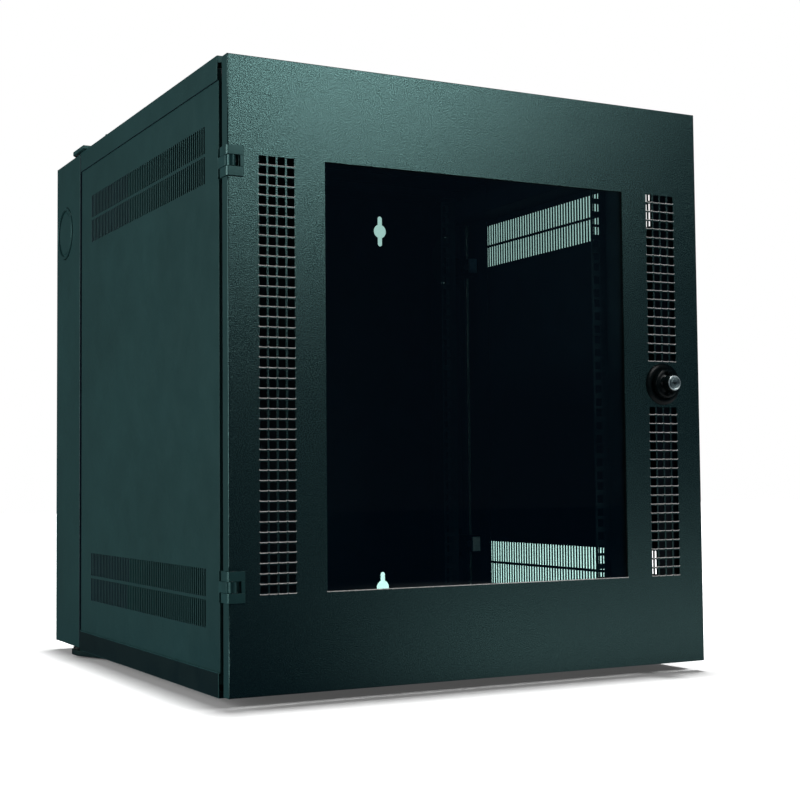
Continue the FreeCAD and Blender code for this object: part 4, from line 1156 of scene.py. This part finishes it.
def beyond_footprint(tree, x, y):
    """Distance on the floor from the cabinet's footprint."""
    gaps = []
    for value, axis in ((x, 0), (y, 1)):
        half = (CAD_BOX[1][axis] - CAD_BOX[0][axis]) / 2
        centred = math_node(tree, "SUBTRACT", value, CABINET_MIDDLE[axis])
        past = math_node(tree, "SUBTRACT", math_node(tree, "ABSOLUTE", centred, 0), half)
        gaps.append(math_node(tree, "POWER", math_node(tree, "MAXIMUM", past, 0), 2))
    return math_node(tree, "SQRT", math_node(tree, "ADD", gaps[0], gaps[1]), 0)


def white_sweep(tree, x, y, distance):
    """How bright the floor looks in reflections: white near the cabinet at its front right."""
    across = math_node(tree, "ADD", x, math_node(tree, "MULTIPLY", y, SWEEP_SLANT))
    right = fading(tree, across, *SWEEP_EDGE, 0, SWEEP_MIRRORED)
    near = fading(tree, distance, *SWEEP_REACH, 1, 0)
    front = fading(tree, y, *SWEEP_FRONT, 1, 0)
    sweep = math_node(tree, "MULTIPLY", math_node(tree, "MULTIPLY", right, near), front)
    return math_node(tree, "MAXIMUM", sweep,
                     fading(tree, y, -FLOOR_FADE, FLOOR_FADE, 0, MIRRORED_BEHIND))


def floor():
    """White floor that keeps the cabinet's soft shadow, darkened further by a painted shadow where
    its glow dims round the footprint, and melts into the backdrop.
    """
    bottom = CAD_BOX[0][2] - FLOOR_GAP
    mesh = bpy.data.meshes.new("floor")
    corners = [(-FLOOR_HALF, -FLOOR_HALF), (FLOOR_HALF, -FLOOR_HALF), (FLOOR_HALF, FLOOR_HALF),
               (-FLOOR_HALF, FLOOR_HALF)]
    mesh.from_pydata([(x, y, bottom) for x, y in corners], [], [(0, 1, 2, 3)])
    plane = bpy.data.objects.new("floor", mesh)
    bpy.context.scene.collection.objects.link(plane)
    material = bpy.data.materials.new("white_floor")
    material.use_nodes = True
    tree = material.node_tree
    shader = tree.nodes["Principled BSDF"]
    shader.inputs["Roughness"].default_value = 0.9
    shader.inputs["Specular IOR Level"].default_value = 0.0
    x, y = place_parts(tree, "Object")
    direct, mirrored = seen_directly(tree, y, DOOR_FACE)
    distance = beyond_footprint(tree, x, y)
    lit = math_node(tree, "MULTIPLY", math_node(tree, "SUBTRACT", 1.0, mirrored),
                    fading(tree, distance, *BOUNCE_REACH, BOUNCE, BOUNCE_FAR))
    level = math_node(tree, "MAXIMUM", math_node(tree, "MULTIPLY", direct, FLOOR_TONE), lit)
    tint = tree.nodes.new("ShaderNodeCombineColor")
    for channel in tint.inputs:
        tree.links.new(level, channel)
    tree.links.new(tint.outputs[0], shader.inputs["Base Color"])
    # Painted shadow: the glow seen by the camera dims near the cabinet's footprint.
    seen = math_node(tree, "MULTIPLY", direct,
                     fading(tree, distance, 0, PAINTED_SHADOW_REACH, PAINTED_SHADOW_GLOW, 1.0))
    reflected = math_node(tree, "MULTIPLY", mirrored, white_sweep(tree, x, y, distance))
    glow = tree.nodes.new("ShaderNodeEmission")
    tree.links.new(math_node(tree, "MAXIMUM", seen, reflected), glow.inputs["Strength"])
    both = tree.nodes.new("ShaderNodeAddShader")
    tree.links.new(shader.outputs["BSDF"], both.inputs[0])
    tree.links.new(glow.outputs["Emission"], both.inputs[1])
    seen = add_haze(tree, both.outputs[0], mirrored, y, FLOOR_FADE)
    tree.links.new(seen, tree.nodes["Material Output"].inputs["Surface"])
    mesh.materials.append(material)


def aim(lamp, direction):
    """Turn a lamp to shine along a direction, and link it."""
    lamp.rotation_euler = Vector(direction).to_track_quat("-Z", "Y").to_euler()
    bpy.context.scene.collection.objects.link(lamp)


def softbox(name, place, target, width, height, watts):
    """A rectangular lamp that faces its target."""
    data = bpy.data.lights.new(name, "AREA")
    data.shape = "RECTANGLE"
    data.size = width
    data.size_y = height
    data.energy = watts
    lamp = bpy.data.objects.new(name, data)
    lamp.location = place
    aim(lamp, Vector(target) - Vector(place))


def overhead(direction, strength, spread):
    """A far overhead light; its small tilt lays the shadow at the left and in front."""
    data = bpy.data.lights.new("overhead", "SUN")
    data.energy = strength
    data.angle = math.radians(spread)
    aim(bpy.data.objects.new("overhead", data), direction)


def studio_lights():
    """Overhead light, a softbox mirrored in the door's top, and a soft light at the left."""
    overhead((-0.032, -0.03, -1), strength=3.0, spread=5.0)
    softbox("door_softbox", place=(0.685, -2.3, 1.02), target=(-0.1, -0.64, 0.2),
            width=0.70, height=0.62, watts=12.0)
    softbox("left_softbox", place=(-2.4, -0.1, 0.35), target=(-0.3, -0.36, 0.0),
            width=1.4, height=1.2, watts=38)


# ---------------------------------------------------------------- everything

def finish_nodes():
    """Node materials on the CAD nodes that show as they are."""
    for node, obj in frame["nodes"].items():
        paint(obj, NODE_SLOT[node])


finish_nodes()
sheet_metal()
rear_highlight_strip()
skirt_highlight_strip()
side_panel("side_panel_left", -1)
side_panel("side_panel_right", 1)
door_sheet()
knockout_discs()
for level in ("upper", "lower"):
    hinge_leaf(level)
    hinge_bracket(level)
lock()
washers()
fasteners()
camera()
studio_world()
floor()
studio_lights()
bpy.context.scene.view_settings.view_transform = "Standard"
